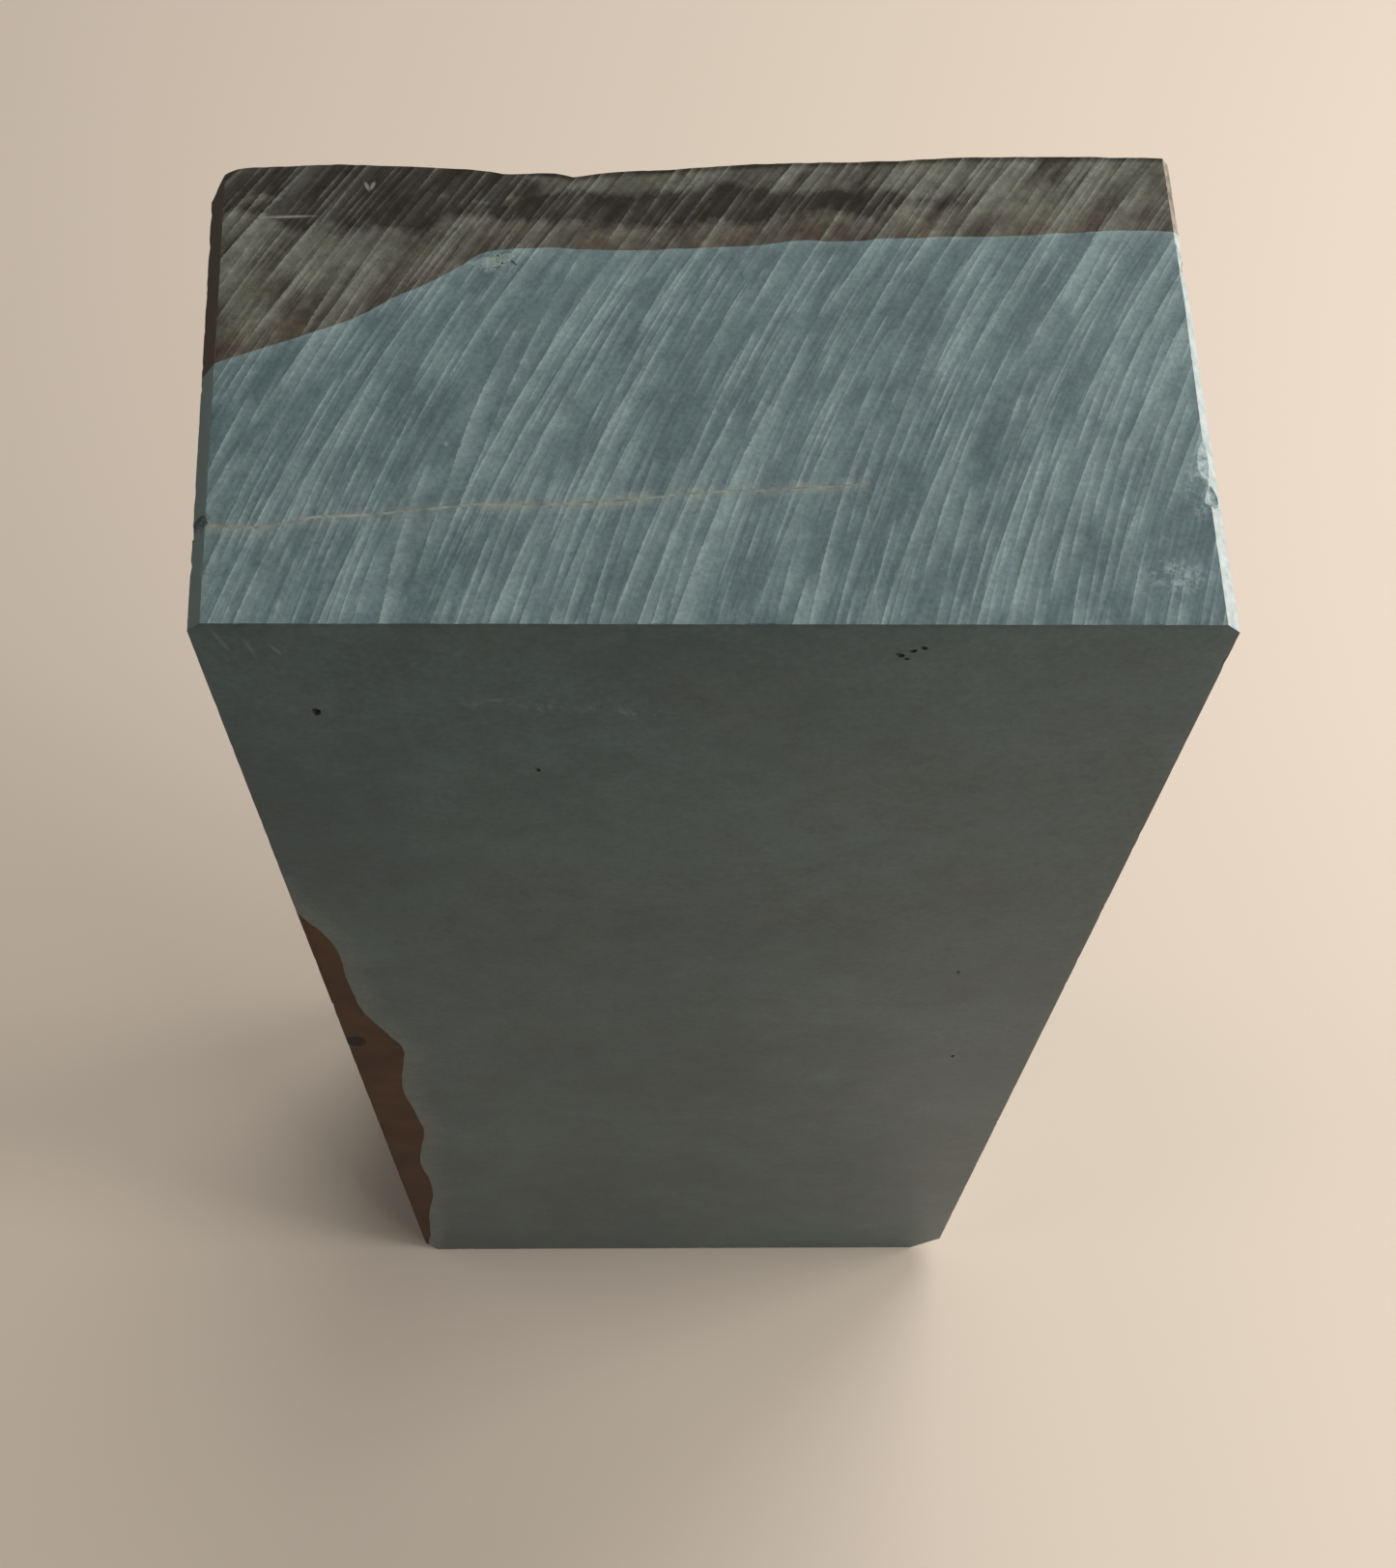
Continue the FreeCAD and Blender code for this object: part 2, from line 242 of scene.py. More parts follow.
# ------------------------------------------------------------------ curves and noise
def smooth_line(points, step):
    """Points every step or so along a smooth curve through the given points."""
    points = np.array(points, float)
    padded = np.vstack([2 * points[0] - points[1], points, 2 * points[-1] - points[-2]])
    found = []
    for before, start, end, after in zip(padded, padded[1:], padded[2:], padded[3:]):
        count = max(2, int(round(np.linalg.norm(end - start) / step)))
        for t in np.linspace(0, 1, count, endpoint=False):
            found.append(
                0.5 * (2 * start + (end - before) * t + (2 * before - 5 * start + 4 * end - after) * t**2
                       + (3 * start - before - 3 * end + after) * t**3)
            )
    found.append(points[-1])
    return np.array(found)


def fbm(places, largest, octaves, seed):
    """Soft natural noise of about -1 to 1 at each place, with features up to a largest size."""
    offset = Vector((seed * 17.3, seed * 7.9, seed * 29.1))
    return np.array([
        noise.fractal(Vector(place) / largest + offset, 1.0, 2.0, octaves, noise_basis="PERLIN_ORIGINAL")
        for place in places
    ])


BACK_CURVE = smooth_line(BACK_OUTLINE, 0.5)
FRONT_CURVE = smooth_line(FRONT_EDGE, 1.5)
BLUE_CURVE = smooth_line(BLUE_EDGE, 0.7)

# The back's ridges wander sideways down the stone, by up to a few millimetres. At the head end
# they are in place, and they wander fully below this distance from it.
WANDER_START = 30
WANDER_REACH = 9.0
WANDER_BEND = 55.0
HEIGHTS = np.linspace(0, LENGTH, 80)
WANDER = np.clip((LENGTH - HEIGHTS) / WANDER_START, 0, 1) * WANDER_REACH * fbm(
    np.outer(HEIGHTS, (0, 0, 1)), WANDER_BEND, 3, seed=41.0)


def back_y(x, z):
    """How deep the natural back lies, without its relief."""
    return np.interp(x + np.interp(z, HEIGHTS, WANDER), BACK_CURVE[:, 0], BACK_CURVE[:, 1])


def edge_shift(z):
    """How far the natural boundaries have moved to the right at a height, from their head end place."""
    foot = np.interp(z, FRONT_CURVE[:, 1], FRONT_CURVE[:, 0])
    return foot - EDGE_FOOT_X


# The back's relief: how many terraces there are, where on each the rise to the next starts, how
# high they stand above and below the outline, how far from the head end they are whole, and the
# height of the fine roughness.
TERRACES = 4.0
RISE_START = 0.72
TERRACE_HEIGHT = 0.95
TERRACE_SINK = 0.15
TERRACE_FADE = 22.0
ROUGHNESS_HEIGHT = 0.09


def back_relief(x, z):
    """The split natural back: low terraces of broken layers under fine roughness."""
    places = np.stack([x, np.zeros_like(x), z * 0.55], axis=1)
    swell = fbm(places, largest=26.0, octaves=4, seed=2.0)
    steps = swell * TERRACES
    rise = np.clip((steps % 1.0 - RISE_START) / (1 - RISE_START), 0, 1)
    terrace = (np.floor(steps) + rise) / TERRACES
    away_from_head = np.clip((LENGTH - z) / TERRACE_FADE, 0, 1) ** 0.7
    rough = fbm(places, largest=2.6, octaves=3, seed=5.0)
    return away_from_head * (TERRACE_HEIGHT * terrace - TERRACE_SINK) + ROUGHNESS_HEIGHT * rough


def saw_line(x, y):
    """Which saw stroke a place on the head end belongs to: the same all along one blade arc."""
    return x + np.sqrt(size("saw_radius") ** 2 - (y - SAW_CENTRE_Y) ** 2)


def saw_relief(x, y, seed):
    """Low ridges that the saw left, long along each stroke and a millimetre or two apart."""
    stroke = saw_line(x, y)
    places = np.stack([stroke, y * 0.07, np.full_like(x, seed)], axis=1)
    ridges = 0.05 * fbm(places, largest=2.4, octaves=1, seed=seed)
    swell = 0.03 * fbm(places, largest=7.0, octaves=2, seed=seed + 1.0)
    return ridges + swell


# ------------------------------------------------------------------ mesh helpers
def mesh_object(name, bm):
    mesh = bpy.data.meshes.new(name)
    bm.to_mesh(mesh)
    bm.free()
    made = bpy.data.objects.new(name, mesh)
    bpy.context.scene.collection.objects.link(made)
    return made


def get_places(mesh):
    places = np.empty(len(mesh.vertices) * 3)
    mesh.vertices.foreach_get("co", places)
    return places.reshape(-1, 3)


def set_places(mesh, places):
    mesh.vertices.foreach_set("co", places.astype(np.float32).ravel())
    mesh.update()


def cut_with(made, tool, operation):
    """Applies one boolean with a closed tool."""
    modifier = made.modifiers.new("cut", "BOOLEAN")
    modifier.operation = operation
    modifier.solver = "MANIFOLD"
    modifier.object = tool
    graph = bpy.context.evaluated_depsgraph_get()
    mesh = bpy.data.meshes.new_from_object(made.evaluated_get(graph))
    old = made.data
    made.modifiers.clear()
    made.data = mesh
    bpy.data.meshes.remove(old)
    if not mesh.polygons:
        raise RuntimeError(f"{made.name} has nothing left after {operation} with {tool.name}")


def copy_of(made, name):
    twin = made.copy()
    twin.data = made.data.copy()
    twin.name = name
    bpy.context.scene.collection.objects.link(twin)
    return twin


# ------------------------------------------------------------------ the whole block
# Cells of the mesh across each bevel.
BAND_CELLS = 3


def grid_lines(low, high, step, low_band, high_band):
    """Even lines between two bands at the ends, which have lines of their own."""
    parts = []
    if low_band:
        parts.append(np.linspace(low, low + low_band, BAND_CELLS + 1)[:-1])
    start, end = low + low_band, high - high_band
    parts.append(np.linspace(start, end, max(2, int(round((end - start) / step))) + 1))
    if high_band:
        parts.append(np.linspace(high - high_band, high, BAND_CELLS + 1)[1:])
    return np.concatenate(parts)


def fold_corner(across, rise, size):
    """Moves a square corner's points onto and behind a bevel; both are distances from its faces."""
    a, b = across / size[0], rise / size[1]
    inside = (a < 1) & (b < 1)
    least = np.minimum(a, b)
    a0, b0 = a - least, b - least
    most = np.maximum(a0, b0)
    along = b0 - a0
    line_a, line_b = (1 - along) / 2, (1 + along) / 2
    inner_a, inner_b = a0 + 1 - most, b0 + 1 - most
    part = np.divide(least, 1 - most, out=np.zeros_like(least), where=most < 1)
    new_a = line_a + part * (inner_a - line_a)
    new_b = line_b + part * (inner_b - line_b)
    return (
        np.where(inside, new_a * size[0], across),
        np.where(inside, new_b * size[1], rise),
    )


def drawn_in(distance, width, share):
    """Draws the band of mesh lines along a corner closer to it, easing off over the next few lines."""
    past = np.clip((distance - width) / (6 * width), 0, 1)
    return np.where(distance < width, distance * share, distance - width * (1 - share) * (1 - past))


def block_shell():
    """The sawn block as one closed mesh: bevels, out-of-square sides, natural back and saw relief."""
    lines = [
        grid_lines(-HALF_WIDTH, HALF_WIDTH, size("mesh_step"), HEAD_BEVEL[0], HEAD_BEVEL[0]),
        grid_lines(FRONT_Y, BACK_Y, size("mesh_step"), 0, 0),
        grid_lines(0, LENGTH, UP_STEP, 0, HEAD_BEVEL[1]),
    ]
    # The foot's bevels start on the nearest lines.
    for axis, place in ((0, HALF_WIDTH - FOOT_CLIP[0]), (0, FOOT_EASE[0] - HALF_WIDTH),
                        (2, FOOT_CLIP[1]), (2, FOOT_EASE[1])):
        nearest = np.argmin(np.abs(lines[axis] - place))
        lines[axis][nearest] = place
    bm = bmesh.new()
    bmesh.ops.create_cube(bm, size=1.0)
    for axis, places in enumerate(lines):
        long_edges = [e for e in bm.edges if abs((e.verts[0].co - e.verts[1].co)[axis]) > 0.9]
        bmesh.ops.subdivide_edges(bm, edges=long_edges, cuts=len(places) - 2, use_grid_fill=True)
    shell = mesh_object("block_shell", bm)
    unit = get_places(shell.data) + 0.5
    numbers = [np.rint(unit[:, axis] * (len(lines[axis]) - 1)).astype(int) for axis in range(3)]
    x, y, z = (lines[axis][numbers[axis]] for axis in range(3))
    last = [len(places) - 1 for places in lines]
    on_back = numbers[1] == last[1]
    # bevels, worked out while the sides are still square
    narrow = 1 - (1 - np.interp(y, *BEVEL_SHARE)) * np.clip(x / (0.5 * HALF_WIDTH), 0, 1)
    for side, share, low_size in ((-1, 1.0, FOOT_EASE), (1, narrow, FOOT_CLIP)):
        inward = drawn_in(HALF_WIDTH - side * x, HEAD_BEVEL[0], share)
        down = drawn_in(LENGTH - z, HEAD_BEVEL[1], share)
        inward, down = fold_corner(inward, down, (HEAD_BEVEL[0] * share, HEAD_BEVEL[1] * share))
        x, z = side * (HALF_WIDTH - inward), LENGTH - down
        inward, z = fold_corner(HALF_WIDTH - side * x, z, low_size)
        x = side * (HALF_WIDTH - inward)
    # out-of-square sides and the natural back's outline
    into = (y - FRONT_Y) / DEPTH
    left, right = -HALF_WIDTH - LEFT_LEAN * into, HALF_WIDTH - RIGHT_LEAN * into
    x = left + (x + HALF_WIDTH) / (2 * HALF_WIDTH) * (right - left)
    y = FRONT_Y + into * (back_y(x, z) - FRONT_Y)
    # relief
    y = np.where(on_back, y + back_relief(x, z), y)
    on_head = z > LENGTH - NEARLY
    on_foot = z < NEARLY
    z = np.where(on_head, z + saw_relief(x, y, 3.0), z)
    z = np.where(on_foot, z + np.abs(saw_relief(x, y, 9.0)), z)
    set_places(shell.data, np.stack([x, y, z], axis=1))
    soften_edges(shell)
    return shell


# Worn edges: the least that every point of them is worn, how deep the nibbles are, and how strong
# the noise has to be for one to start. The natural back behind this line isn't nibbled.
LEAST_WEAR = 0.02
NIBBLE_DEPTH = 0.13
NIBBLE_START = 0.12
NIBBLE_BACK = BACK_Y - 3.5


def soften_edges(shell):
    """A tiny worn round on every sharp edge, then small irregular nibbles along it."""
    bm = bmesh.new()
    bm.from_mesh(shell.data)
    bm.normal_update()
    sharp = [e for e in bm.edges if e.calc_face_angle(0.0) > math.radians(SHARP_EDGE)]
    bmesh.ops.bevel(
        bm, geom=sharp, offset=size("edge_wear"), offset_type="OFFSET", segments=2, profile=0.5,
        affect="EDGES", clamp_overlap=True, material=-1,
    )
    bm.normal_update()
    worn = {v for e in bm.edges if e.calc_face_angle(0.0) > math.radians(WORN_EDGE) for v in e.verts}
    worn = [v for v in worn if v.co.y < NIBBLE_BACK]
    for v in worn:
        nibble = noise.fractal(v.co / 1.7, 0.9, 2.0, 3) + 0.35 * noise.noise(v.co * 1.9)
        depth = LEAST_WEAR + NIBBLE_DEPTH * max(0.0, nibble - NIBBLE_START)
        v.co -= v.normal * depth
    bm.to_mesh(shell.data)
    bm.free()


# Chips and pits: name of the place, centre, half sizes and tilt in degrees.
CHIPS = {
    "right_edge_notch": ((40.7, 11.2, LENGTH - 0.1), (1.0, 1.7, 1.5), (0, 30, 8)),
    "right_edge_break": ((40.1, -11.1, LENGTH), (0.9, 1.25, 0.8), (12, 25, -20)),
    "right_edge_flake": ((39.7, -7.6, LENGTH + 0.05), (0.9, 2.1, 0.3), (0, 8, -6)),
    "front_right_corner": ((41.2, FRONT_Y, LENGTH + 0.2), (1.5, 0.7, 0.85), (10, 30, 20)),
    "right_edge_low_nick": ((40.6, -18.2, LENGTH), (0.5, 0.8, 0.4), (0, 30, 15)),
    "left_seam_nick": ((-41.6, -14.2, LENGTH - 0.3), (1.7, 0.95, 1.5), (8, -20, 12)),
    "left_edge_step": ((-41.9, -17.6, LENGTH - 1), (0.75, 1.6, 1.3), (0, -30, -5)),
    "back_notch": ((-11.9, 21.6, LENGTH), (0.75, 0.85, 2.4), (0, 0, 30)),
    "back_chip": ((-18.6, 22.1, LENGTH + 0.2), (1.4, 0.9, 1.8), (0, 0, -15)),
    "fleck_nick": ((-16.6, 11.6, LENGTH + 0.15), (0.5, 0.13, 0.3), (0, 0, -42)),
    "front_dark_pit": ((-32.9, FRONT_Y - 0.05, LENGTH - 15), (0.42, 0.5, 0.62), (0, 10, 0)),
    "front_small_pit": ((-15.0, FRONT_Y - 0.05, LENGTH - 26.2), (0.26, 0.3, 0.34), (0, 0, 0)),
    "front_chip_a": ((14.7, FRONT_Y - 0.05, LENGTH - 5), (0.5, 0.35, 0.3), (0, 20, 0)),
    "front_chip_b": ((15.7, FRONT_Y, LENGTH - 4.3), (0.34, 0.22, 0.26), (0, -30, 0)),
    "front_chip_c": ((16.5, FRONT_Y - 0.05, LENGTH - 3.8), (0.36, 0.3, 0.28), (0, 40, 0)),
    "front_chip_d": ((15.3, FRONT_Y - 0.02, LENGTH - 5.6), (0.26, 0.2, 0.2), (0, 0, 0)),
    "front_faint_pit_a": ((31.5, FRONT_Y - 0.1, 99.1), (0.3, 0.22, 0.55), (0, 8, 0)),
    "front_faint_pit_b": ((28.5, FRONT_Y - 0.1, 128.5), (0.26, 0.2, 0.45), (0, 0, 0)),
    "foot_left_break": ((-40.9, FRONT_Y - 0.1, 2.2), (0.9, 0.6, 1.5), (0, -20, 0)),
    "right_edge_tiny_a": ((41.1, FRONT_Y - 0.1, 148.0), (0.25, 0.25, 0.8), (0, 0, 45)),
    "right_edge_tiny_b": ((41.1, FRONT_Y - 0.1, 71.0), (0.27, 0.27, 0.9), (0, 0, 45)),
    "left_edge_tiny_a": ((-41.1, FRONT_Y - 0.1, 118.0), (0.35, 0.4, 0.8), (0, 0, 45)),
    "back_right_break": ((40.3, 22.6, 133.0), (1.2, 1.0, 4.2), (6, 0, 20)),
    "back_left_break": ((-42.6, 20.0, 58.0), (1.1, 1.1, 3.4), (-6, 0, 20)),
}


# How far a lump or a chip strays from a smooth ellipsoid, as a share of its size.
KNOBBLY = 0.22
FINE_KNOBBLY = 0.35 * KNOBBLY


def rough_pebbles(name, stones, seed):
    """Irregular closed lumps, one per (centre, half sizes, tilt), in one object."""
    bm = bmesh.new()
    for number, (centre, radii, tilt) in enumerate(stones):
        turn = Euler([math.radians(a) for a in tilt]).to_matrix().to_4x4()
        lump = bmesh.ops.create_icosphere(bm, subdivisions=3, radius=1.0)["verts"]
        for v in lump:
            spot = v.co * 1.6 + Vector((seed, number * 3.7, 0))
            v.co *= 1 + KNOBBLY * noise.noise(spot) + FINE_KNOBBLY * noise.noise(spot * 2.7)
        place = Matrix.Translation(centre) @ turn @ Matrix.Diagonal((*radii, 1))
        bmesh.ops.transform(bm, verts=lump, matrix=place)
    bmesh.ops.recalc_face_normals(bm, faces=bm.faces)
    return mesh_object(name, bm)


# ------------------------------------------------------------------ zone forms
# The forms reach this far out round the stone, and this far over its ends.
OUTSIDE = {"left": -125.0, "right": 130.0, "back": 40.0}
OVER = 1.0


def swept_form(name, outline, low, high, move):
    """A closed form: a plan outline carried up from low to high, then set in place by move(x, y, z)."""
    bm = bmesh.new()
    ring = [bm.verts.new((px, py, low)) for px, py in outline]
    edges = [bm.edges.new(pair) for pair in zip(ring, ring[1:] + ring[:1])]
    grown = bmesh.ops.extrude_edge_only(bm, edges=edges)["geom"]
    top = [item for item in grown if isinstance(item, bmesh.types.BMVert)]
    bmesh.ops.translate(bm, verts=top, vec=(0, 0, high - low))
    upright = [e for e in bm.edges if abs(e.verts[0].co.z - e.verts[1].co.z) > OVER]
    cuts = int((high - low) / UP_STEP)
    bmesh.ops.subdivide_edges(bm, edges=upright, cuts=cuts, use_grid_fill=True)
    bmesh.ops.holes_fill(bm, edges=[e for e in bm.edges if e.is_boundary], sides=0)
    bmesh.ops.recalc_face_normals(bm, faces=bm.faces)
    made = mesh_object(name, bm)
    set_places(made.data, np.stack(move(*get_places(made.data).T), axis=1))
    return made


# How far the natural boundary strays: fine ripples, and slower swells.
RIPPLE = 0.16
SWELL = 2.2 * RIPPLE


def boundary_ripple(x, y, z, seed):
    """How far the natural boundary strays from its smooth curve, across and into the stone."""
    places = np.stack([x, y, z * 0.8], axis=1)
    ripple = RIPPLE * fbm(places, largest=2.8, octaves=3, seed=11.0 + seed)
    swell = SWELL * fbm(places, largest=11.0, octaves=2, seed=13.0 + seed)
    return ripple - 0.5 * swell, ripple + swell


def rind_form(name, across=0.0, into=0.0):
    """Everything behind the blue stone's natural boundary, moved across and into the stone."""
    start, end = BLUE_CURVE[0], BLUE_CURVE[-1]
    outline = list(BLUE_CURVE) + [
        (OUTSIDE["right"], end[1]), (OUTSIDE["right"], OUTSIDE["back"]),
        (OUTSIDE["left"], OUTSIDE["back"]), (OUTSIDE["left"], start[1]),
    ]

    def move(x, y, z):
        stray_across, stray_into = boundary_ripple(x, y, z, across)
        return x + edge_shift(z) + across + stray_across, y + into + stray_into, z

    return swept_form(name, outline, -3 * OVER, LENGTH + 3 * OVER, move)


def skin_form():
    """Everything behind the inner face of the weathered skin, which follows the natural back."""
    inner = BACK_CURVE.copy()
    inner[0, 0], inner[-1, 0] = -HALF_WIDTH - 4, HALF_WIDTH + 4
    outline = list(inner) + [(inner[-1, 0], OUTSIDE["back"]), (inner[0, 0], OUTSIDE["back"])]

    def move(x, y, z):
        on_inner = y < OUTSIDE["back"] - 1
        behind = back_y(x, z) + back_relief(x, z) - size("skin_depth")
        return x, np.where(on_inner, behind, y), z

    return swept_form("skin_form", outline, -OVER, LENGTH + OVER, move)


def sheet_form(name, near_side, far_side, reach, wobble):
    """A thin sheet between two curves in plan, from above the head end down by reach."""
    outline = list(near_side) + list(far_side[::-1])

    def move(x, y, z):
        places = np.stack([x, np.zeros_like(x), z * 0.4], axis=1)
        return x, y + wobble * fbm(places, largest=4.0, octaves=3, seed=21.0), z

    return swept_form(name, outline, LENGTH - reach, LENGTH + OVER, move)


def seam_form():
    """The tan seam: widest at the left side, and thinned to a thread at its tip."""
    near = smooth_line(SEAM_LINE, 0.6)
    share = np.linspace(0, 1, len(near))
    places = np.stack([near[:, 0], near[:, 1], np.zeros(len(near))], axis=1)
    swell = 0.5 + 0.5 * fbm(places, largest=3.2, octaves=3, seed=31.0)
    gap = size("seam_width") * (0.5 + 0.9 * swell) * (1 - share) ** 0.6 + 0.07
    far = near + np.stack([np.zeros_like(gap), gap], axis=1)
    return sheet_form("seam_form", near, far, SEAM_REACH, 0.16)


def streak_form():
    near, far = smooth_line(STREAK_FRONT, 0.8), smooth_line(STREAK_BACK, 0.8)
    return sheet_form("streak_form", near, far, STREAK_REACH, 0.35)


# Inclusions: centre, half sizes and tilt of each lump.
FLECK = [
    ((-18.6, 11.65, LENGTH - 0.1), (1.25, 0.6, 0.8), (0, 0, 12)),
    ((-17.4, 12.1, LENGTH - 0.1), (0.8, 0.4, 0.7), (0, 0, 30)),
]
KNOT = [((-40.0, FRONT_Y + 0.1, 105.2), (1.25, 1.4, 1.75), (0, 10, 0))]

# Each zone of the stone: the cuts that leave it, in order. What lies inside one of the workshop's
# forms is kept (+) or taken away (-).
ZONES = {
    "blue_stone": ["-rind", "-seam", "-fleck"],
    "rust_band": ["+rind", "-rind_inside"],
    "brown_rind": ["+rind_inside", "-skin", "-streak", "-knot"],
    "dark_streak": ["+streak", "+rind_inside", "-skin"],
    "back_skin": ["+skin"],
    "seam_fill": ["+seam", "-rind"],
    "pale_fleck": ["+fleck", "-rind"],
    "iron_knot": ["+knot", "+rind_inside"],
}


# ------------------------------------------------------------------ how each face was made
# How far from the natural back's outline, or from the honing face, a face may be and still belong
# to it.
BACK_BAND = 1.6
FRONT_BAND = 0.6
# Sizes of a normal's part along an axis: a face this square to it faces along it, and a face with
# this much along two axes is slanted.
FACING = 0.8
SLANTED = 0.35
KINDS = ["lapped", "sawn_end", "sawn_side", "bevel", "natural", "broken", "inner"]


def set_kinds(mesh, numbers):
    """Keeps what made each face as its slot number, which every cut then carries along."""
    mesh.materials.clear()
    for _ in KINDS:
        mesh.materials.append(None)
    mesh.polygons.foreach_set("material_index", np.asarray(numbers, np.int32))


def all_of_kind(made, kind):
    set_kinds(made.data, np.full(len(made.data.polygons), KINDS.index(kind)))
    return made


def sort_faces(shell):
    """Tells lapped, sawn, bevelled and natural faces apart by where they lie and look."""
    mesh = shell.data
    count = len(mesh.polygons)
    centre, normal = np.empty(count * 3), np.empty(count * 3)
    mesh.polygons.foreach_get("center", centre)
    mesh.polygons.foreach_get("normal", normal)
    x, y, z = centre.reshape(-1, 3).T
    nx, ny, nz = normal.reshape(-1, 3).T
    kinds = np.full(count, KINDS.index("sawn_side"))
    kinds[np.abs(nz) > FACING] = KINDS.index("sawn_end")
    kinds[(ny < -FACING) & (y < FRONT_Y + FRONT_BAND)] = KINDS.index("lapped")
    behind = y > back_y(x, z) - BACK_BAND
    kinds[behind & (ny > 0.25) & (np.abs(nz) < FACING)] = KINDS.index("natural")
    slanted = (np.abs(nx) > SLANTED) & (np.abs(nz) > SLANTED) & (np.abs(ny) < 0.4)
    kinds[slanted] = KINDS.index("bevel")
    set_kinds(mesh, kinds)


# ------------------------------------------------------------------ materials
def add(tree, kind, inputs=(), out=0, **settings):
    """Adds a node with its settings, values and links, and gives back one of its outputs."""
    made = tree.nodes.new(kind)
    for name, value in settings.items():
        setattr(made, name, value)
    for key, value in dict(inputs).items():
        if isinstance(value, bpy.types.NodeSocket):
            tree.links.new(value, made.inputs[key])
        else:
            made.inputs[key].default_value = value
    return made.outputs[out]


MATH = "ShaderNodeMath"
NOISE = "ShaderNodeTexNoise"
# Inputs of a range by number: 1 and 2 are the values that it reads from, 3 and 4 what it turns them to.
RANGE = "ShaderNodeMapRange"
# Inputs of a mix by number: 0 is the share of the second colour, 6 and 7 are the colours.
MIX = "ShaderNodeMix"
COLOUR_MIX = {"out": 2, "data_type": "RGBA"}
SLATE_IOR = 1.54


def new_material(name, roughness, specular):
    """A material with one shader; gives back its tree and that shader."""
    material = bpy.data.materials.new(name)
    material.use_nodes = True
    shader = material.node_tree.nodes["Principled BSDF"]
    shader.inputs["Roughness"].default_value = roughness
    shader.inputs["IOR"].default_value = SLATE_IOR
    shader.inputs["Specular IOR Level"].default_value = specular
    return material, material.node_tree, shader


def finish_surface(material, tree, shader, colour, height, depth_mm):
    """Links the colour and a bump of real depth to the shader."""
    tree.links.new(colour, shader.inputs["Base Color"])
    bump = add(tree, "ShaderNodeBump", {"Height": height, "Distance": depth_mm * MM, "Strength": 1.0})
    tree.links.new(bump, shader.inputs["Normal"])
    return material


def place_mm(tree):
    """Where a point is on the stone, in millimetres."""
    spot = add(tree, "ShaderNodeTexCoord", out=3)
    return add(tree, "ShaderNodeVectorMath", {0: spot, "Scale": 1 / MM}, operation="SCALE")


def patches(tree, spot, across, low=0.36, high=0.62, detail=4.0):
    """Soft natural blotches about this many millimetres across, 0 to 1."""
    cloud = add(tree, NOISE, {"Vector": spot, "Scale": 1 / across, "Detail": detail, "Roughness": 0.6})
    return add(tree, RANGE, {0: cloud, 1: low, 2: high, 3: 0.0, 4: 1.0})


def strokes(tree, line, along, other, width, run, seed, detail=2.0):
    """Noise that is narrow across the saw strokes and long along them, sizes in millimetres."""
    across = add(tree, MATH, {0: line, 1: 1 / width, 2: seed * 13.7}, operation="MULTIPLY_ADD")
    along = add(tree, MATH, {0: along, 1: 1 / run, 2: seed * 5.1}, operation="MULTIPLY_ADD")
    depth = add(tree, MATH, {0: other, 1: 0.37, 2: seed}, operation="MULTIPLY_ADD")
    place = add(tree, "ShaderNodeCombineXYZ", {0: across, 1: along, 2: depth})
    return add(tree, NOISE, {"Vector": place, "Scale": 1.0, "Detail": detail, "Roughness": 0.5})


def scrapes(tree, line, along, other, width, run, seed):
    """Saw strokes side by side: each starts at a crisp edge, fades across its width, and comes and goes
    along its run. Gives back the strokes and their edges, 0 to 1; sizes are in millimetres."""
    place = add(tree, MATH, {0: line, 1: 1 / width, 2: seed * 13.7}, operation="MULTIPLY_ADD")
    number = add(tree, MATH, {0: place}, operation="FLOOR")
    across = add(tree, MATH, {0: place}, operation="FRACT")
    own = add(tree, MATH, {0: number, 1: 7.31}, operation="MULTIPLY")
    place = add(tree, MATH, {0: along, 1: 1 / run, 2: own}, operation="MULTIPLY_ADD")
    depth = add(tree, MATH, {0: other, 1: 0.37, 2: seed}, operation="MULTIPLY_ADD")
    place = add(tree, "ShaderNodeCombineXYZ", {0: own, 1: place, 2: depth})
    strength = add(tree, NOISE, {"Vector": place, "Scale": 1.0, "Detail": 2.0, "Roughness": 0.5})
    strength = add(tree, RANGE, {0: strength, 1: 0.44, 2: 0.6, 3: 0.0, 4: 1.0})
    left = add(tree, MATH, {0: 1.0, 1: across}, operation="SUBTRACT")
    narrow = add(tree, MATH, {0: left, 1: 2.6 * width}, operation="POWER")
    narrow = add(tree, MATH, {0: narrow, 1: narrow}, operation="MULTIPLY")
    stroke = add(tree, MATH, {0: strength, 1: left}, operation="MULTIPLY")
    edge = add(tree, MATH, {0: strength, 1: narrow}, operation="MULTIPLY")
    return stroke, edge


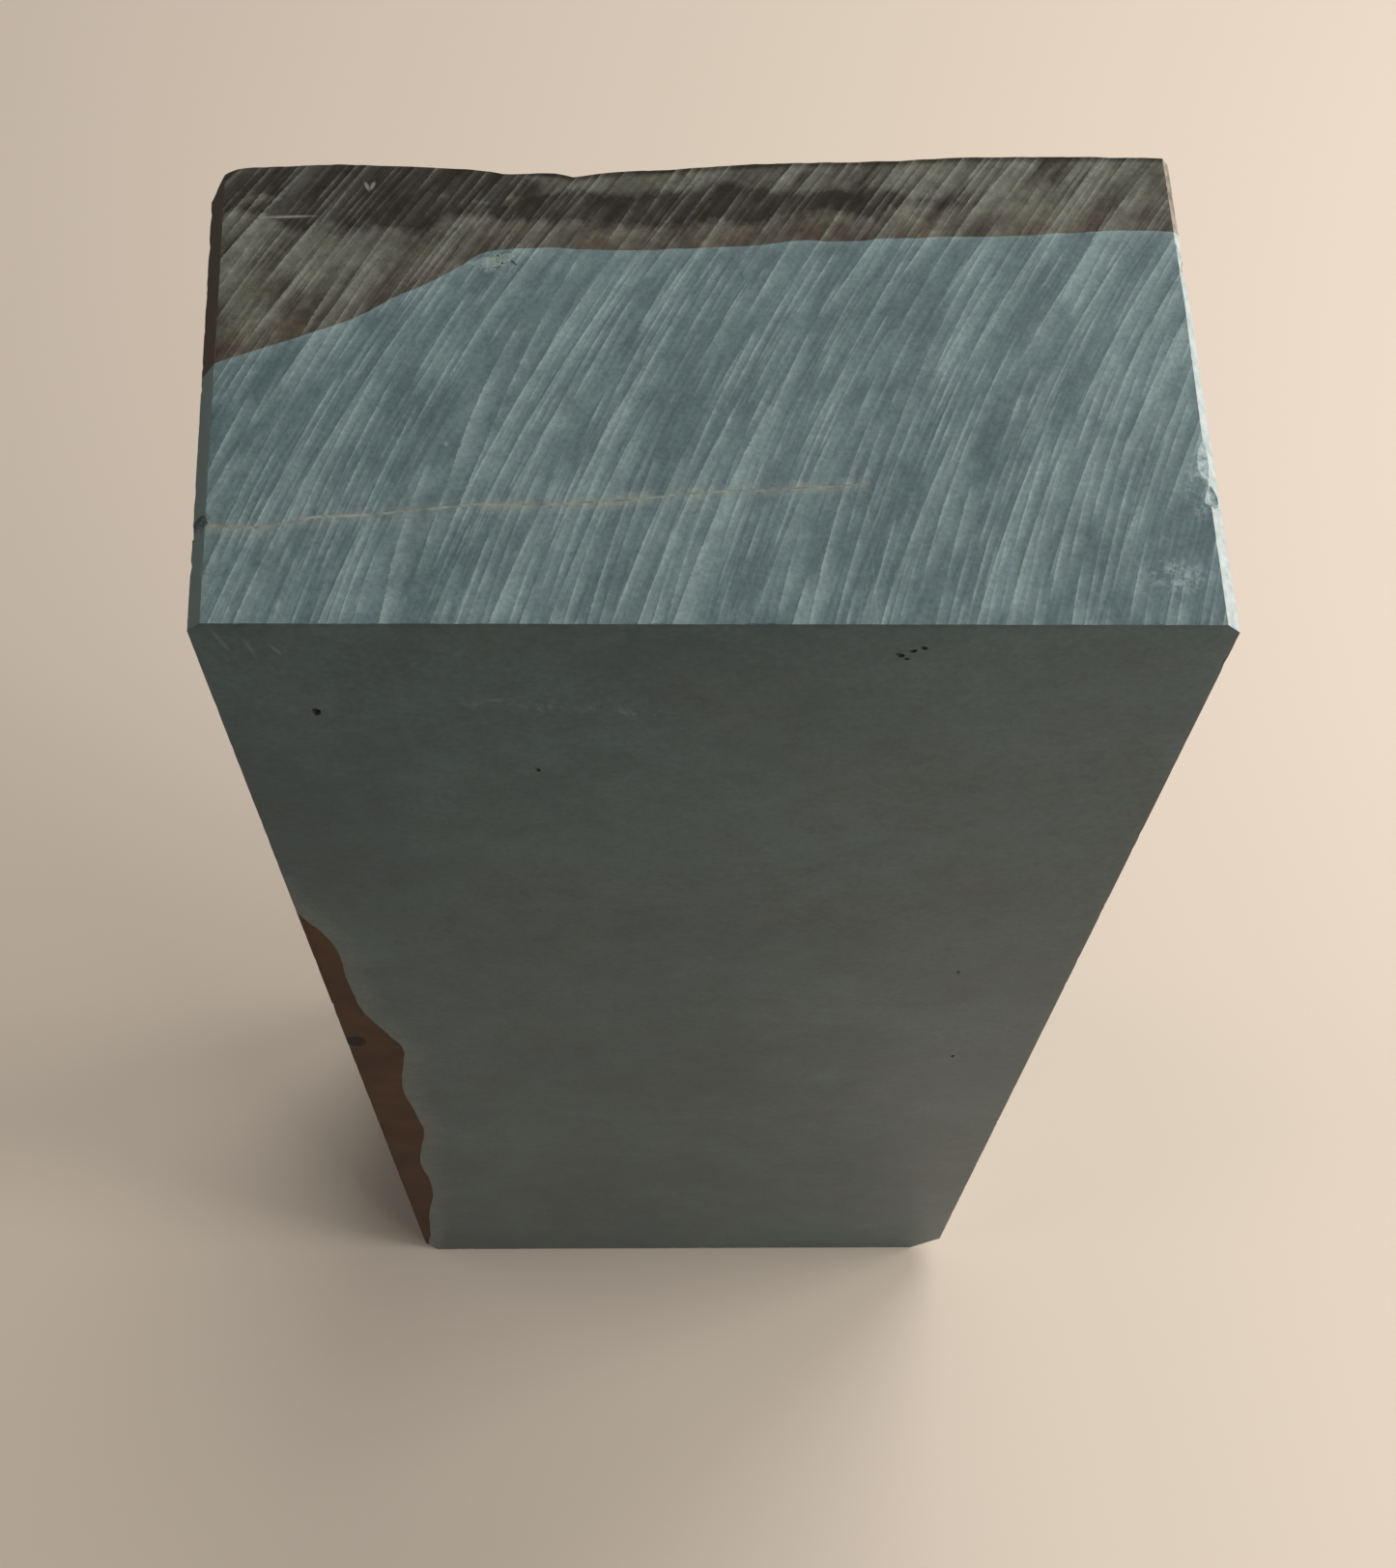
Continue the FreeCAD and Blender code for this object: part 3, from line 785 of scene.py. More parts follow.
def saw_marks(tree, spot, side):
    """The marks of a circular blade: dust 0 to 1, bright scratches 0 to 1, and relief.

    The blade leaves arcs. On the ends they cross the width, and on the sides they climb the length.
    """
    x, y, z = (add(tree, "ShaderNodeSeparateXYZ", {0: spot}, out=axis) for axis in range(3))
    forward, other = (z, x) if side else (x, z)
    radius = size("saw_radius")
    slope = add(tree, MATH, {0: y, 1: 1 / radius, 2: -SAW_CENTRE_Y / radius}, operation="MULTIPLY_ADD")
    square = add(tree, MATH, {0: slope, 1: slope}, operation="MULTIPLY")
    rest = add(tree, MATH, {0: 1.0, 1: square}, operation="SUBTRACT")
    root = add(tree, MATH, {0: rest}, operation="SQRT")
    line = add(tree, MATH, {0: root, 1: radius, 2: forward}, operation="MULTIPLY_ADD")
    # no blade runs quite true, and grit frays the strokes' edges
    uneven = strokes(tree, line, y, other, width=6.0, run=120.0, seed=5.0, detail=1.0)
    line = add(tree, MATH, {0: uneven, 1: 4.5, 2: line}, operation="MULTIPLY_ADD")
    mottle = add(tree, NOISE, {"Vector": spot, "Scale": 1 / 1.8, "Detail": 4.0, "Roughness": 0.65})
    grit = add(tree, NOISE, {"Vector": spot, "Scale": 1 / 0.4, "Detail": 2.0, "Roughness": 0.6})
    torn = add(tree, MATH, {0: grit, 1: 0.16, 2: line}, operation="MULTIPLY_ADD")
    drift = add(tree, MATH, {0: y, 1: 0.06, 2: torn}, operation="MULTIPLY_ADD")
    # wide strokes, narrower ones that cross them at a slight angle, and fine lines
    broad, broad_edge = scrapes(tree, torn, y, other, width=2.4, run=16.0, seed=1.0)
    middle, middle_edge = scrapes(tree, drift, y, other, width=0.9, run=8.0, seed=2.0)
    thin = strokes(tree, torn, y, other, width=0.36, run=5.0, seed=3.0)
    # how much each of them counts in the dust
    total = add(tree, MATH, {0: thin, 1: 0.8, 2: 0.1}, operation="MULTIPLY_ADD")
    total = add(tree, MATH, {0: broad, 1: 0.62, 2: total}, operation="MULTIPLY_ADD")
    total = add(tree, MATH, {0: middle, 1: 0.42, 2: total}, operation="MULTIPLY_ADD")
    total = add(tree, MATH, {0: mottle, 1: 0.62, 2: total}, operation="MULTIPLY_ADD")
    dust = add(tree, RANGE, {0: total, 1: 0.72, 2: 1.58, 3: 0.0, 4: 1.0})
    scratch = add(tree, MATH, {0: broad_edge, 1: middle_edge}, operation="MAXIMUM")
    # bright edges break up where the stone is mottled
    whole = add(tree, RANGE, {0: mottle, 1: 0.38, 2: 0.6, 3: 0.25, 4: 1.0})
    scratch = add(tree, MATH, {0: scratch, 1: whole}, operation="MULTIPLY")
    return dust, scratch, total


def mark(tree, spot, centre, half_sizes, tilt, axis):
    """A mask that is 1 inside one small blemish: its centre, half sizes and tilt about an axis."""
    turn = [0.0, 0.0, 0.0]
    turn[axis] = math.radians(tilt)
    place = add(tree, "ShaderNodeMapping", {"Vector": spot, "Location": centre, "Rotation": turn,
                                            "Scale": half_sizes}, vector_type="TEXTURE")
    far = add(tree, "ShaderNodeVectorMath", {0: place}, out=1, operation="LENGTH")
    return add(tree, RANGE, {0: far, 1: 1.15, 2: 0.5, 3: 0.0, 4: 1.0})


def all_marks(tree, spot, marks, axis=2):
    """The strongest of several blemishes."""
    found = 0.0
    for centre, half_sizes, tilt in marks:
        one = mark(tree, spot, centre, half_sizes, tilt, axis)
        found = add(tree, MATH, {0: one, 1: found}, operation="MAXIMUM")
    return found


# Blemishes too fine to cut: centre, half sizes and tilt in degrees.
CRUMBS = [
    ((36.3, -18.5, LENGTH), (2.9, 1.5, 3.0), -8),
    ((39.2, -10.0, LENGTH), (1.6, 3.4, 3.0), -6),
    ((-21.7, -6.5, LENGTH), (0.35, 0.3, 1.0), 0),
    ((-18.2, 11.7, LENGTH), (2.6, 1.1, 2.0), 14),
]
RIND_CRUMBS = [
    ((-29.25, 19.6, LENGTH), (0.17, 0.6, 1.0), 24),
    ((-28.8, 19.65, LENGTH), (0.2, 0.55, 1.0), -20),
    ((-35.7, 16.3, LENGTH), (2.4, 0.16, 1.0), 2),
]
FACE_SCRATCHES = [
    ((-38.7, FRONT_Y, LENGTH - 2.6), (0.22, 1.0, 2.0), -14),
    ((-36.6, FRONT_Y, LENGTH - 3.8), (0.2, 1.0, 1.7), -10),
    ((-34.6, FRONT_Y, LENGTH - 4.2), (0.2, 1.0, 1.1), -22),
]
FACE_SCUFFS = [
    ((-15.5, FRONT_Y, LENGTH - 13.8), (6.5, 1.0, 1.3), 4),
    ((-8.0, FRONT_Y, LENGTH - 14.7), (6.0, 1.0, 1.0), 12),
]


def sawn_blue_slate(name, side=False):
    """Fine-grained slate straight off a circular saw.

    Stone dust packed into the strokes makes it pale and streaky, with crisp edges where each
    stroke scraped over the last, and darker where the dust has been wiped away.
    """
    material, tree, shader = new_material(name, roughness=0.7, specular=0.35)
    spot = place_mm(tree)
    dust, scratch, relief = saw_marks(tree, spot, side)
    cloud = patches(tree, spot, across=8.0, low=0.28, high=0.72)
    base = add(tree, MIX, {0: cloud, 6: paint("blue_dark"), 7: paint("blue_light")}, **COLOUR_MIX)
    strength = add(tree, RANGE, {0: cloud, 1: 0.0, 2: 1.0, 3: 0.66, 4: 0.95})
    dusted = add(tree, MATH, {0: dust, 1: strength}, operation="MULTIPLY")
    coat = add(tree, MIX, {0: dusted, 6: base, 7: paint("blue_dust")}, **COLOUR_MIX)
    bright = add(tree, MATH, {0: scratch, 1: 0.46}, operation="MULTIPLY")
    coat = add(tree, MIX, {0: bright, 6: coat, 7: paint("blue_scratch")}, **COLOUR_MIX)
    broken = patches(tree, spot, across=0.7, low=0.46, high=0.62)
    crumbs = add(tree, MATH, {0: all_marks(tree, spot, CRUMBS), 1: broken}, operation="MULTIPLY")
    crumbs = add(tree, MATH, {0: crumbs, 1: 0.4}, operation="MULTIPLY")
    coat = add(tree, MIX, {0: crumbs, 6: coat, 7: paint("blue_scratch")}, **COLOUR_MIX)
    behind = add(tree, "ShaderNodeAttribute", out=2, attribute_name="behind_blue")
    rim = add(tree, RANGE, {0: behind, 1: -1.2, 2: -0.1, 3: 0.0, 4: 0.15})
    broken_rim = patches(tree, spot, across=3.0, low=0.38, high=0.6)
    rim = add(tree, MATH, {0: rim, 1: broken_rim}, operation="MULTIPLY")
    coat = add(tree, MIX, {0: rim, 6: coat, 7: paint("blue_scratch")}, **COLOUR_MIX)
    gap = add(tree, "ShaderNodeAttribute", out=2, attribute_name="past_seam")
    gap = add(tree, MATH, {0: gap}, operation="ABSOLUTE")
    chalky = add(tree, RANGE, {0: gap, 1: 0.9, 2: 0.1, 3: 0.0, 4: 0.5})
    stretches = patches(tree, spot, across=2.2, low=0.35, high=0.6)
    chalky = add(tree, MATH, {0: chalky, 1: stretches}, operation="MULTIPLY")
    coat = add(tree, MIX, {0: chalky, 6: coat, 7: paint("seam_light")}, **COLOUR_MIX)
    grain = add(tree, NOISE, {"Vector": spot, "Scale": 1 / 0.35, "Detail": 2.0})
    shade = add(tree, RANGE, {0: grain, 1: 0.3, 2: 0.7, 3: 0.85, 4: 1.13})
    height = add(tree, MATH, {0: grain, 1: 0.3, 2: relief}, operation="MULTIPLY_ADD")
    coat = add(tree, "ShaderNodeVectorMath", {0: coat, "Scale": shade}, operation="SCALE")
    return finish_surface(material, tree, shader, coat, height, depth_mm=0.04)


def lapped_blue_slate():
    """Slate rubbed flat on a fine plate and washed: dark, even and silky, with faint clouds and stains."""
    material, tree, shader = new_material("Lapped blue slate", roughness=0.36, specular=0.25)
    spot = place_mm(tree)
    cloud = patches(tree, spot, across=34.0, low=0.38, high=0.62)
    base = add(tree, MIX, {0: cloud, 6: paint("lapped_dark"), 7: paint("lapped_light")}, **COLOUR_MIX)
    stain = patches(tree, spot, across=15.0, low=0.5, high=0.72)
    stained = add(tree, MATH, {0: stain, 1: 0.18}, operation="MULTIPLY")
    base = add(tree, MIX, {0: stained, 6: base, 7: paint("lapped_stain")}, **COLOUR_MIX)
    behind = add(tree, "ShaderNodeAttribute", out=2, attribute_name="behind_blue")
    frayed = patches(tree, spot, across=3.0, low=0.3, high=0.7)
    ragged = add(tree, MATH, {0: frayed, 1: 1.6, 2: behind}, operation="MULTIPLY_ADD")
    halo = add(tree, RANGE, {0: ragged, 1: -2.8, 2: 0.3, 3: 0.0, 4: 0.75})
    base = add(tree, MIX, {0: halo, 6: base, 7: paint("lapped_halo")}, **COLOUR_MIX)
    scratches = all_marks(tree, spot, FACE_SCRATCHES, axis=1)
    scratched = add(tree, MATH, {0: scratches, 1: 0.33}, operation="MULTIPLY")
    base = add(tree, MIX, {0: scratched, 6: base, 7: paint("blue_dust")}, **COLOUR_MIX)
    scuffs = all_marks(tree, spot, FACE_SCUFFS, axis=1)
    flecks = patches(tree, spot, across=0.8, low=0.52, high=0.66)
    scuffed = add(tree, MATH, {0: scuffs, 1: flecks}, operation="MULTIPLY")
    scuffed = add(tree, MATH, {0: scuffed, 1: 0.4}, operation="MULTIPLY")
    base = add(tree, MIX, {0: scuffed, 6: base, 7: paint("blue_dust")}, **COLOUR_MIX)
    grain = add(tree, NOISE, {"Vector": spot, "Scale": 1 / 0.6, "Detail": 3.0, "Roughness": 0.7})
    flocks = add(tree, NOISE, {"Vector": spot, "Scale": 1 / 5.5, "Detail": 6.0, "Roughness": 0.8})
    both = add(tree, MATH, {0: flocks, 1: 1.3, 2: grain}, operation="MULTIPLY_ADD")
    shade = add(tree, RANGE, {0: both, 1: 0.85, 2: 1.45, 3: 0.74, 4: 1.26})
    base = add(tree, "ShaderNodeVectorMath", {0: base, "Scale": shade}, operation="SCALE")
    return finish_surface(material, tree, shader, base, grain, depth_mm=0.012)


def layered_rind(name, side=False):
    """The stone's iron-stained outside as the saw left it.

    Rust lies next to the blue stone, then grey brown, then a patchy near-black layer; the strokes'
    dust greys all of them. The layers follow distances kept on the mesh, so they run on from one
    zone to the next.
    """
    material, tree, shader = new_material(name, roughness=0.8, specular=0.18)
    spot = place_mm(tree)
    dust, scratch, relief = saw_marks(tree, spot, side)
    behind, streak, under = (
        add(tree, "ShaderNodeAttribute", out=2, attribute_name=kept)
        for kept in ("behind_blue", "in_streak", "under_skin")
    )
    cloud = patches(tree, spot, across=5.0)
    ragged = add(tree, MATH, {0: cloud, 1: 1.6, 2: behind}, operation="MULTIPLY_ADD")
    rusty = add(tree, RANGE, {0: ragged, 1: 2.2, 2: 4.4, 3: 1.0, 4: 0.0})
    grey = add(tree, MIX, {0: cloud, 6: paint("rind_dark"), 7: paint("rind_light")}, **COLOUR_MIX)
    rust = add(tree, MIX, {0: cloud, 6: paint("rust_dark"), 7: paint("rust_light")}, **COLOUR_MIX)
    layer = add(tree, MIX, {0: rusty, 6: grey, 7: rust}, **COLOUR_MIX)
    blotch = patches(tree, spot, across=6.5, low=0.38, high=0.6)
    torn = add(tree, MATH, {0: streak, 1: 1.5, 2: blotch}, operation="MULTIPLY_ADD")
    torn = add(tree, MATH, {0: blotch, 1: 1.0, 2: torn}, operation="MULTIPLY_ADD")
    torn = add(tree, MATH, {0: dust, 1: -0.9, 2: torn}, operation="MULTIPLY_ADD")
    dark = add(tree, RANGE, {0: torn, 1: -0.6, 2: 0.8, 3: 0.0, 4: 0.97})
    edge = add(tree, RANGE, {0: under, 1: 0.7, 2: 0.25, 3: 0.0, 4: 0.95})
    dark = add(tree, MATH, {0: dark, 1: edge}, operation="MAXIMUM")
    base = add(tree, MIX, {0: dark, 6: layer, 7: paint("streak")}, **COLOUR_MIX)
    less = add(tree, RANGE, {0: dark, 1: 0.0, 2: 1.0, 3: 0.95, 4: 0.26})
    less = add(tree, MATH, {0: rusty, 1: -0.3, 2: less}, operation="MULTIPLY_ADD", use_clamp=True)
    dusted = add(tree, MATH, {0: dust, 1: less}, operation="MULTIPLY")
    coat = add(tree, MIX, {0: dusted, 6: base, 7: paint("rind_dust")}, **COLOUR_MIX)
    bright = add(tree, MATH, {0: scratch, 1: 0.42}, operation="MULTIPLY")
    coat = add(tree, MIX, {0: bright, 6: coat, 7: paint("rind_scratch")}, **COLOUR_MIX)
    crumbs = add(tree, MATH, {0: all_marks(tree, spot, RIND_CRUMBS), 1: 0.6}, operation="MULTIPLY")
    coat = add(tree, MIX, {0: crumbs, 6: coat, 7: paint("rind_scratch")}, **COLOUR_MIX)
    grain = add(tree, NOISE, {"Vector": spot, "Scale": 1 / 0.8, "Detail": 4.0, "Roughness": 0.8})
    shade = add(tree, RANGE, {0: grain, 1: 0.3, 2: 0.7, 3: 0.7, 4: 1.28})
    height = add(tree, MATH, {0: grain, 1: 0.3, 2: relief}, operation="MULTIPLY_ADD")
    coat = add(tree, "ShaderNodeVectorMath", {0: coat, "Scale": shade}, operation="SCALE")
    return finish_surface(material, tree, shader, coat, height, depth_mm=0.06)


def lapped_rust_slate():
    """The same brown outside where the honing face cuts it: rubbed flat, so dark and even."""
    material, tree, shader = new_material("Lapped rust-brown slate", roughness=0.7, specular=0.25)
    spot = place_mm(tree)
    cloud = patches(tree, spot, across=7.0, low=0.35, high=0.65)
    colours = {6: paint("lapped_rust_dark"), 7: paint("lapped_rust_light")}
    colour = add(tree, MIX, {0: cloud, **colours}, **COLOUR_MIX)
    grain = add(tree, NOISE, {"Vector": spot, "Scale": 1 / 0.5, "Detail": 3.0})
    return finish_surface(material, tree, shader, colour, grain, depth_mm=0.015)


def split_skin():
    """A natural parting face, never cut: dark, matt and rough, stained in brown rings and blotches."""
    material, tree, shader = new_material("Weathered natural skin", roughness=0.85, specular=0.25)
    spot = place_mm(tree)
    cloud = patches(tree, spot, across=16.0, low=0.36, high=0.64, detail=6.0)
    base = add(tree, MIX, {0: cloud, 6: paint("skin_dark"), 7: paint("skin_light")}, **COLOUR_MIX)
    paler_share = patches(tree, spot, across=3.4, low=0.55, high=0.72)
    paler_share = add(tree, MATH, {0: paler_share, 1: 0.6}, operation="MULTIPLY")
    base = add(tree, MIX, {0: paler_share, 6: base, 7: paint("skin_pale")}, **COLOUR_MIX)
    grain = add(tree, NOISE, {"Vector": spot, "Scale": 1 / 0.7, "Detail": 5.0, "Roughness": 0.7})
    shade = add(tree, RANGE, {0: grain, 1: 0.3, 2: 0.7, 3: 0.75, 4: 1.2})
    base = add(tree, "ShaderNodeVectorMath", {0: base, "Scale": shade}, operation="SCALE")
    return finish_surface(material, tree, shader, base, grain, depth_mm=0.28)


def plain_mineral(name, dark, light, across, roughness, depth_mm, painted_shade_colour=None, axis=0, span=(-20, 20)):
    """A small mineral body or a broken or ground surface: two close colours in blotches of one size.

    Where given, a third colour takes over towards the low end of an axis: there the face is painted
    darker, as painted shade.
    """
    material, tree, shader = new_material(name, roughness, specular=0.35)
    spot = place_mm(tree)
    cloud = add(tree, NOISE, {"Vector": spot, "Scale": 1 / across, "Detail": 4.0, "Roughness": 0.6})
    share = add(tree, RANGE, {0: cloud, 1: 0.35, 2: 0.65, 3: 0.0, 4: 1.0})
    colour = add(tree, MIX, {0: share, 6: paint(dark), 7: paint(light)}, **COLOUR_MIX)
    # painted shade: towards the low end of the axis the colour darkens to the third colour
    if painted_shade_colour:
        along = add(tree, "ShaderNodeSeparateXYZ", {0: spot}, out=axis)
        paler_share = add(tree, RANGE, {0: along, 1: span[0], 2: span[1], 3: 0.0, 4: 1.0})
        colour = add(tree, MIX, {0: paler_share, 6: paint(painted_shade_colour), 7: colour}, **COLOUR_MIX)
    return finish_surface(material, tree, shader, colour, cloud, depth_mm)


def make_materials():
    """Every finish of the stone, by a short key."""
    return {
        "blue_lapped": lapped_blue_slate(),
        "blue_end": sawn_blue_slate("Sawn blue slate end"),
        "blue_side": sawn_blue_slate("Sawn blue slate side", side=True),
        # ground on a coarse wheel and pale with stone dust; paler on the right as a painted highlight, and
        # darker on the left as painted shade
        "blue_bevel": plain_mineral(
            "Ground blue slate", "ground_dust_highlight_dark", "ground_dust_highlight_light", across=0.9, roughness=0.7, depth_mm=0.05,
            painted_shade_colour="ground_painted_shade"),
        "rind_bevel": plain_mineral(
            "Ground brown slate", "ground_brown_dust_highlight_dark", "ground_brown_dust_highlight_light", across=0.9, roughness=0.7,
            depth_mm=0.05, painted_shade_colour="ground_brown_painted_shade"),
        # fresh breaks at the head end are crystalline and pale; lower down, pits and breaks are given a
        # darker colour as painted shade in the hollows
        "blue_broken": plain_mineral(
            "Broken blue slate", "blue_light", "blue_scratch", across=0.8, roughness=0.7, depth_mm=0.12,
            painted_shade_colour="rind_light", axis=2, span=(LENGTH - 4.0, LENGTH - 2.5)),
        "rind_broken": plain_mineral(
            "Broken brown slate", "rind_dark", "rust_light", across=0.8, roughness=0.7, depth_mm=0.12),
        "rind_end": layered_rind("Sawn iron-stained slate end"),
        "rind_side": layered_rind("Sawn iron-stained slate side", side=True),
        "rust_lapped": lapped_rust_slate(),
        "skin": split_skin(),
        # a calcite and clay filling: chalky, tan and matt
        "seam": plain_mineral(
            "Tan calcite seam", "seam_dark", "seam_light", across=1.4, roughness=0.8, depth_mm=0.06),
        # a chalky pale inclusion, rough and a little lighter than the slate
        "fleck": plain_mineral(
            "Pale chalky fleck", "fleck_dark", "fleck_light", across=0.6, roughness=0.75, depth_mm=0.08),
        # iron oxide, nearly black and matt
        "knot": plain_mineral(
            "Iron oxide knot", "knot_dark", "knot_light", across=0.7, roughness=0.8, depth_mm=0.03),
    }


BLUE_FINISH = {
    "lapped": "blue_lapped", "sawn_end": "blue_end", "sawn_side": "blue_side", "bevel": "blue_bevel",
    "natural": "blue_side", "broken": "blue_broken", "inner": "blue_broken",
}
RIND_FINISH = {
    "lapped": "rust_lapped", "sawn_end": "rind_end", "sawn_side": "rind_side", "bevel": "rind_bevel",
    "natural": "skin", "broken": "rind_broken", "inner": "rind_broken",
}
ZONE_FINISHES = {
    "blue_stone": BLUE_FINISH,
    "rust_band": RIND_FINISH,
    "brown_rind": RIND_FINISH,
    "dark_streak": RIND_FINISH,
    "back_skin": RIND_FINISH,
    "seam_fill": dict.fromkeys(KINDS, "seam"),
    "pale_fleck": dict.fromkeys(KINDS, "fleck"),
    "iron_knot": dict.fromkeys(KINDS, "knot"),
}


# ------------------------------------------------------------------ finished pieces
# Distances kept on the mesh are whole up to these, in millimetres.
KEPT_NEAR = 3
KEPT_FAR = 9
# The rind is darkest of all under the natural back of the left half: how thick that layer is, where
# across the stone it ends, and how sharply.
DARK_THICKNESS = 3.2
DARK_END_X = -17.0
DARK_SHARPNESS = 0.4


def keep_layers(mesh):
    """Keeps on each point, in millimetres, how deep it lies in the natural layers."""
    x, y, z = get_places(mesh).T
    along = x - edge_shift(z)
    curve_x, curve_y = BLUE_CURVE.T
    slope = np.interp(along, curve_x, np.gradient(curve_y, curve_x))
    on_curve = np.interp(along, curve_x, curve_y)
    lean = np.hypot(1, slope)
    behind = (y - on_curve) / lean
    near = np.abs(behind) < KEPT_NEAR
    across, into = boundary_ripple(along[near], on_curve[near], z[near], 0.0)
    behind[near] -= (into - slope[near] * across) / lean[near]
    streak = np.interp(x, *smooth_line(STREAK_BACK, 0.8).T) - y
    streak = np.minimum(streak, y - np.interp(x, *smooth_line(STREAK_FRONT, 0.8).T))
    ends = np.minimum(x - STREAK_FRONT[0][0] + 1, STREAK_FRONT[-1][0] + 1 - x)
    under_back = np.minimum(y - back_y(x, z) + DARK_THICKNESS, (DARK_END_X - x) * DARK_SHARPNESS)
    past_seam = np.clip(y - np.interp(x, *smooth_line(SEAM_LINE, 0.6).T), -KEPT_NEAR, KEPT_NEAR)
    past_seam[(x > SEAM_LINE[-1][0]) | (z < LENGTH - SEAM_REACH)] = KEPT_NEAR
    kept = {
        "behind_blue": np.clip(behind, -KEPT_FAR, KEPT_FAR),
        "in_streak": np.clip(np.maximum(np.minimum(streak, ends), under_back), -KEPT_NEAR, KEPT_NEAR),
        "under_skin": np.clip(back_y(x, z) - y, 0, KEPT_NEAR),
        "past_seam": past_seam,
    }
    for name, values in kept.items():
        layer = mesh.attributes.new(name, "FLOAT", "POINT")
        layer.data.foreach_set("value", values.astype(np.float32))


class Workshop:
    """What the operators share while the stone is being cut: the block, the forms and the finishes."""

    shell = None
    forms = {}
    finishes = {}


def prepare_block():
    """Shapes and chips the whole block, and the forms that its zones are cut with."""
    shell = block_shell()
    sort_faces(shell)
    chips = rough_pebbles("chips", list(CHIPS.values()), 3.0)
    cut_with(shell, all_of_kind(chips, "broken"), "DIFFERENCE")
    Workshop.shell = shell
    Workshop.forms = {
        "rind": rind_form("rind"),
        "rind_inside": rind_form("rind_inside", *RUST_SHIFT),
        "skin": skin_form(),
        "seam": seam_form(),
        "streak": streak_form(),
        "fleck": rough_pebbles("fleck", FLECK, 5.0),
        "knot": rough_pebbles("knot", KNOT, 7.0),
    }
    for form in Workshop.forms.values():
        all_of_kind(form, "inner")
    Workshop.forms["chips"] = chips
    Workshop.finishes = make_materials()


def clear_workshop():
    """Takes away the whole block and the forms once the zones are cut."""
    for made in [Workshop.shell, *Workshop.forms.values()]:
        bpy.data.objects.remove(made)
    Workshop.shell, Workshop.forms = None, {}


def give_finishes(mesh, node):
    """Turns what made each face into the finish that this zone has there."""
    numbers = np.empty(len(mesh.polygons), np.int32)
    mesh.polygons.foreach_get("material_index", numbers)
    keys = [ZONE_FINISHES[node][kind] for kind in KINDS]
    used = sorted({keys[number] for number in numbers})
    mesh.materials.clear()
    for key in used:
        mesh.materials.append(Workshop.finishes[key])
    slots = np.array([used.index(key) if key in used else 0 for key in keys], np.int32)
    mesh.polygons.foreach_set("material_index", slots[numbers])


def make_zone(node):
    """Cuts one zone out of the block, gives it its finishes, hides its CAD node and attaches the piece to
    the body in its place.
    """
    if Workshop.shell is None:
        raise RuntimeError("the block has to be sawn before its zones are cut")
    piece = copy_of(Workshop.shell, "slate_" + node)
    for step in ZONES[node]:
        cut_with(piece, Workshop.forms[step[1:]], "INTERSECT" if step[0] == "+" else "DIFFERENCE")
    mesh = piece.data
    mesh.name = piece.name
    keep_layers(mesh)
    give_finishes(mesh, node)
    mesh.transform(Matrix.Scale(MM, 4))
    mesh.polygons.foreach_set("use_smooth", np.ones(len(mesh.polygons), bool))
    mesh.set_sharp_from_angle(angle=math.radians(SHADED_EDGE))
    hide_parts(node)
    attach(piece, BODY)


# ------------------------------------------------------------------ stage
CAMERA_PLACE = (-5.031, -106.617, 355.366)
CAMERA_TURN = (25.1112, -1.0999, -0.5031)
SENSOR = 36.0
# Soft lights around the stone: azimuth from +X, elevation and power.
LAMPS = {
    "right_window": (0, 28, 3.95),
    "front_right_window": (-30, 28, 1.54),
    "back_window": (60, 50, 2.9),
    "left_fill": (180, 42, 0.75),
}
LAMP_DISTANCE = 0.7
LAMP_WIDTH = 0.45
LAMP_TARGET = Vector((0, 0, 0.08))
FLOOR_SIZE = 3.0


def make_camera():
    """The camera stands close in front of the stone and looks down on its head end."""
    data = bpy.data.cameras.new("camera")
    data.lens = bpy.context.scene.whetstone_stage.lens
    data.sensor_width = SENSOR
    data.clip_start = 0.01
    camera = bpy.data.objects.new("camera", data)
    camera.location = Vector(CAMERA_PLACE) * MM
    camera.rotation_euler = [math.radians(angle) for angle in CAMERA_TURN]
    bpy.context.scene.collection.objects.link(camera)
    bpy.context.scene.camera = camera


def make_lamp(name, azimuth, elevation, power):
    """A soft square light turned towards the stone."""
    data = bpy.data.lights.new(name, "AREA")
    data.size = LAMP_WIDTH
    data.energy = power * bpy.context.scene.whetstone_stage.light
    lamp = bpy.data.objects.new(name, data)
    turn = Euler((0, -math.radians(elevation), math.radians(azimuth)))
    lamp.location = LAMP_TARGET + turn.to_matrix() @ Vector((LAMP_DISTANCE, 0, 0))
    lamp.rotation_euler = (LAMP_TARGET - lamp.location).to_track_quat("-Z", "Y").to_euler()
    bpy.context.scene.collection.objects.link(lamp)


def make_stage():
    """A plain pale floor, soft windows to the right and behind, and a dim room."""
    settings = bpy.context.scene.whetstone_stage
    bm = bmesh.new()
    bmesh.ops.create_grid(bm, x_segments=8, y_segments=8, size=FLOOR_SIZE)
    floor = mesh_object("floor", bm)
    material, _, shader = new_material("Matt pale paint", roughness=0.8, specular=0.3)
    shader.inputs["Base Color"].default_value = (*settings.floor, 1.0)
    floor.data.materials.append(material)
    for name, (azimuth, elevation, power) in LAMPS.items():
        make_lamp(name, azimuth, elevation, power)
    world = bpy.data.worlds.new("room")
    world.use_nodes = True
    world.node_tree.nodes["Background"].inputs["Color"].default_value = (1, 1, 1, 1)
    world.node_tree.nodes["Background"].inputs["Strength"].default_value = settings.room
    bpy.context.scene.world = world
    bpy.context.scene.view_settings.view_transform = "Standard"


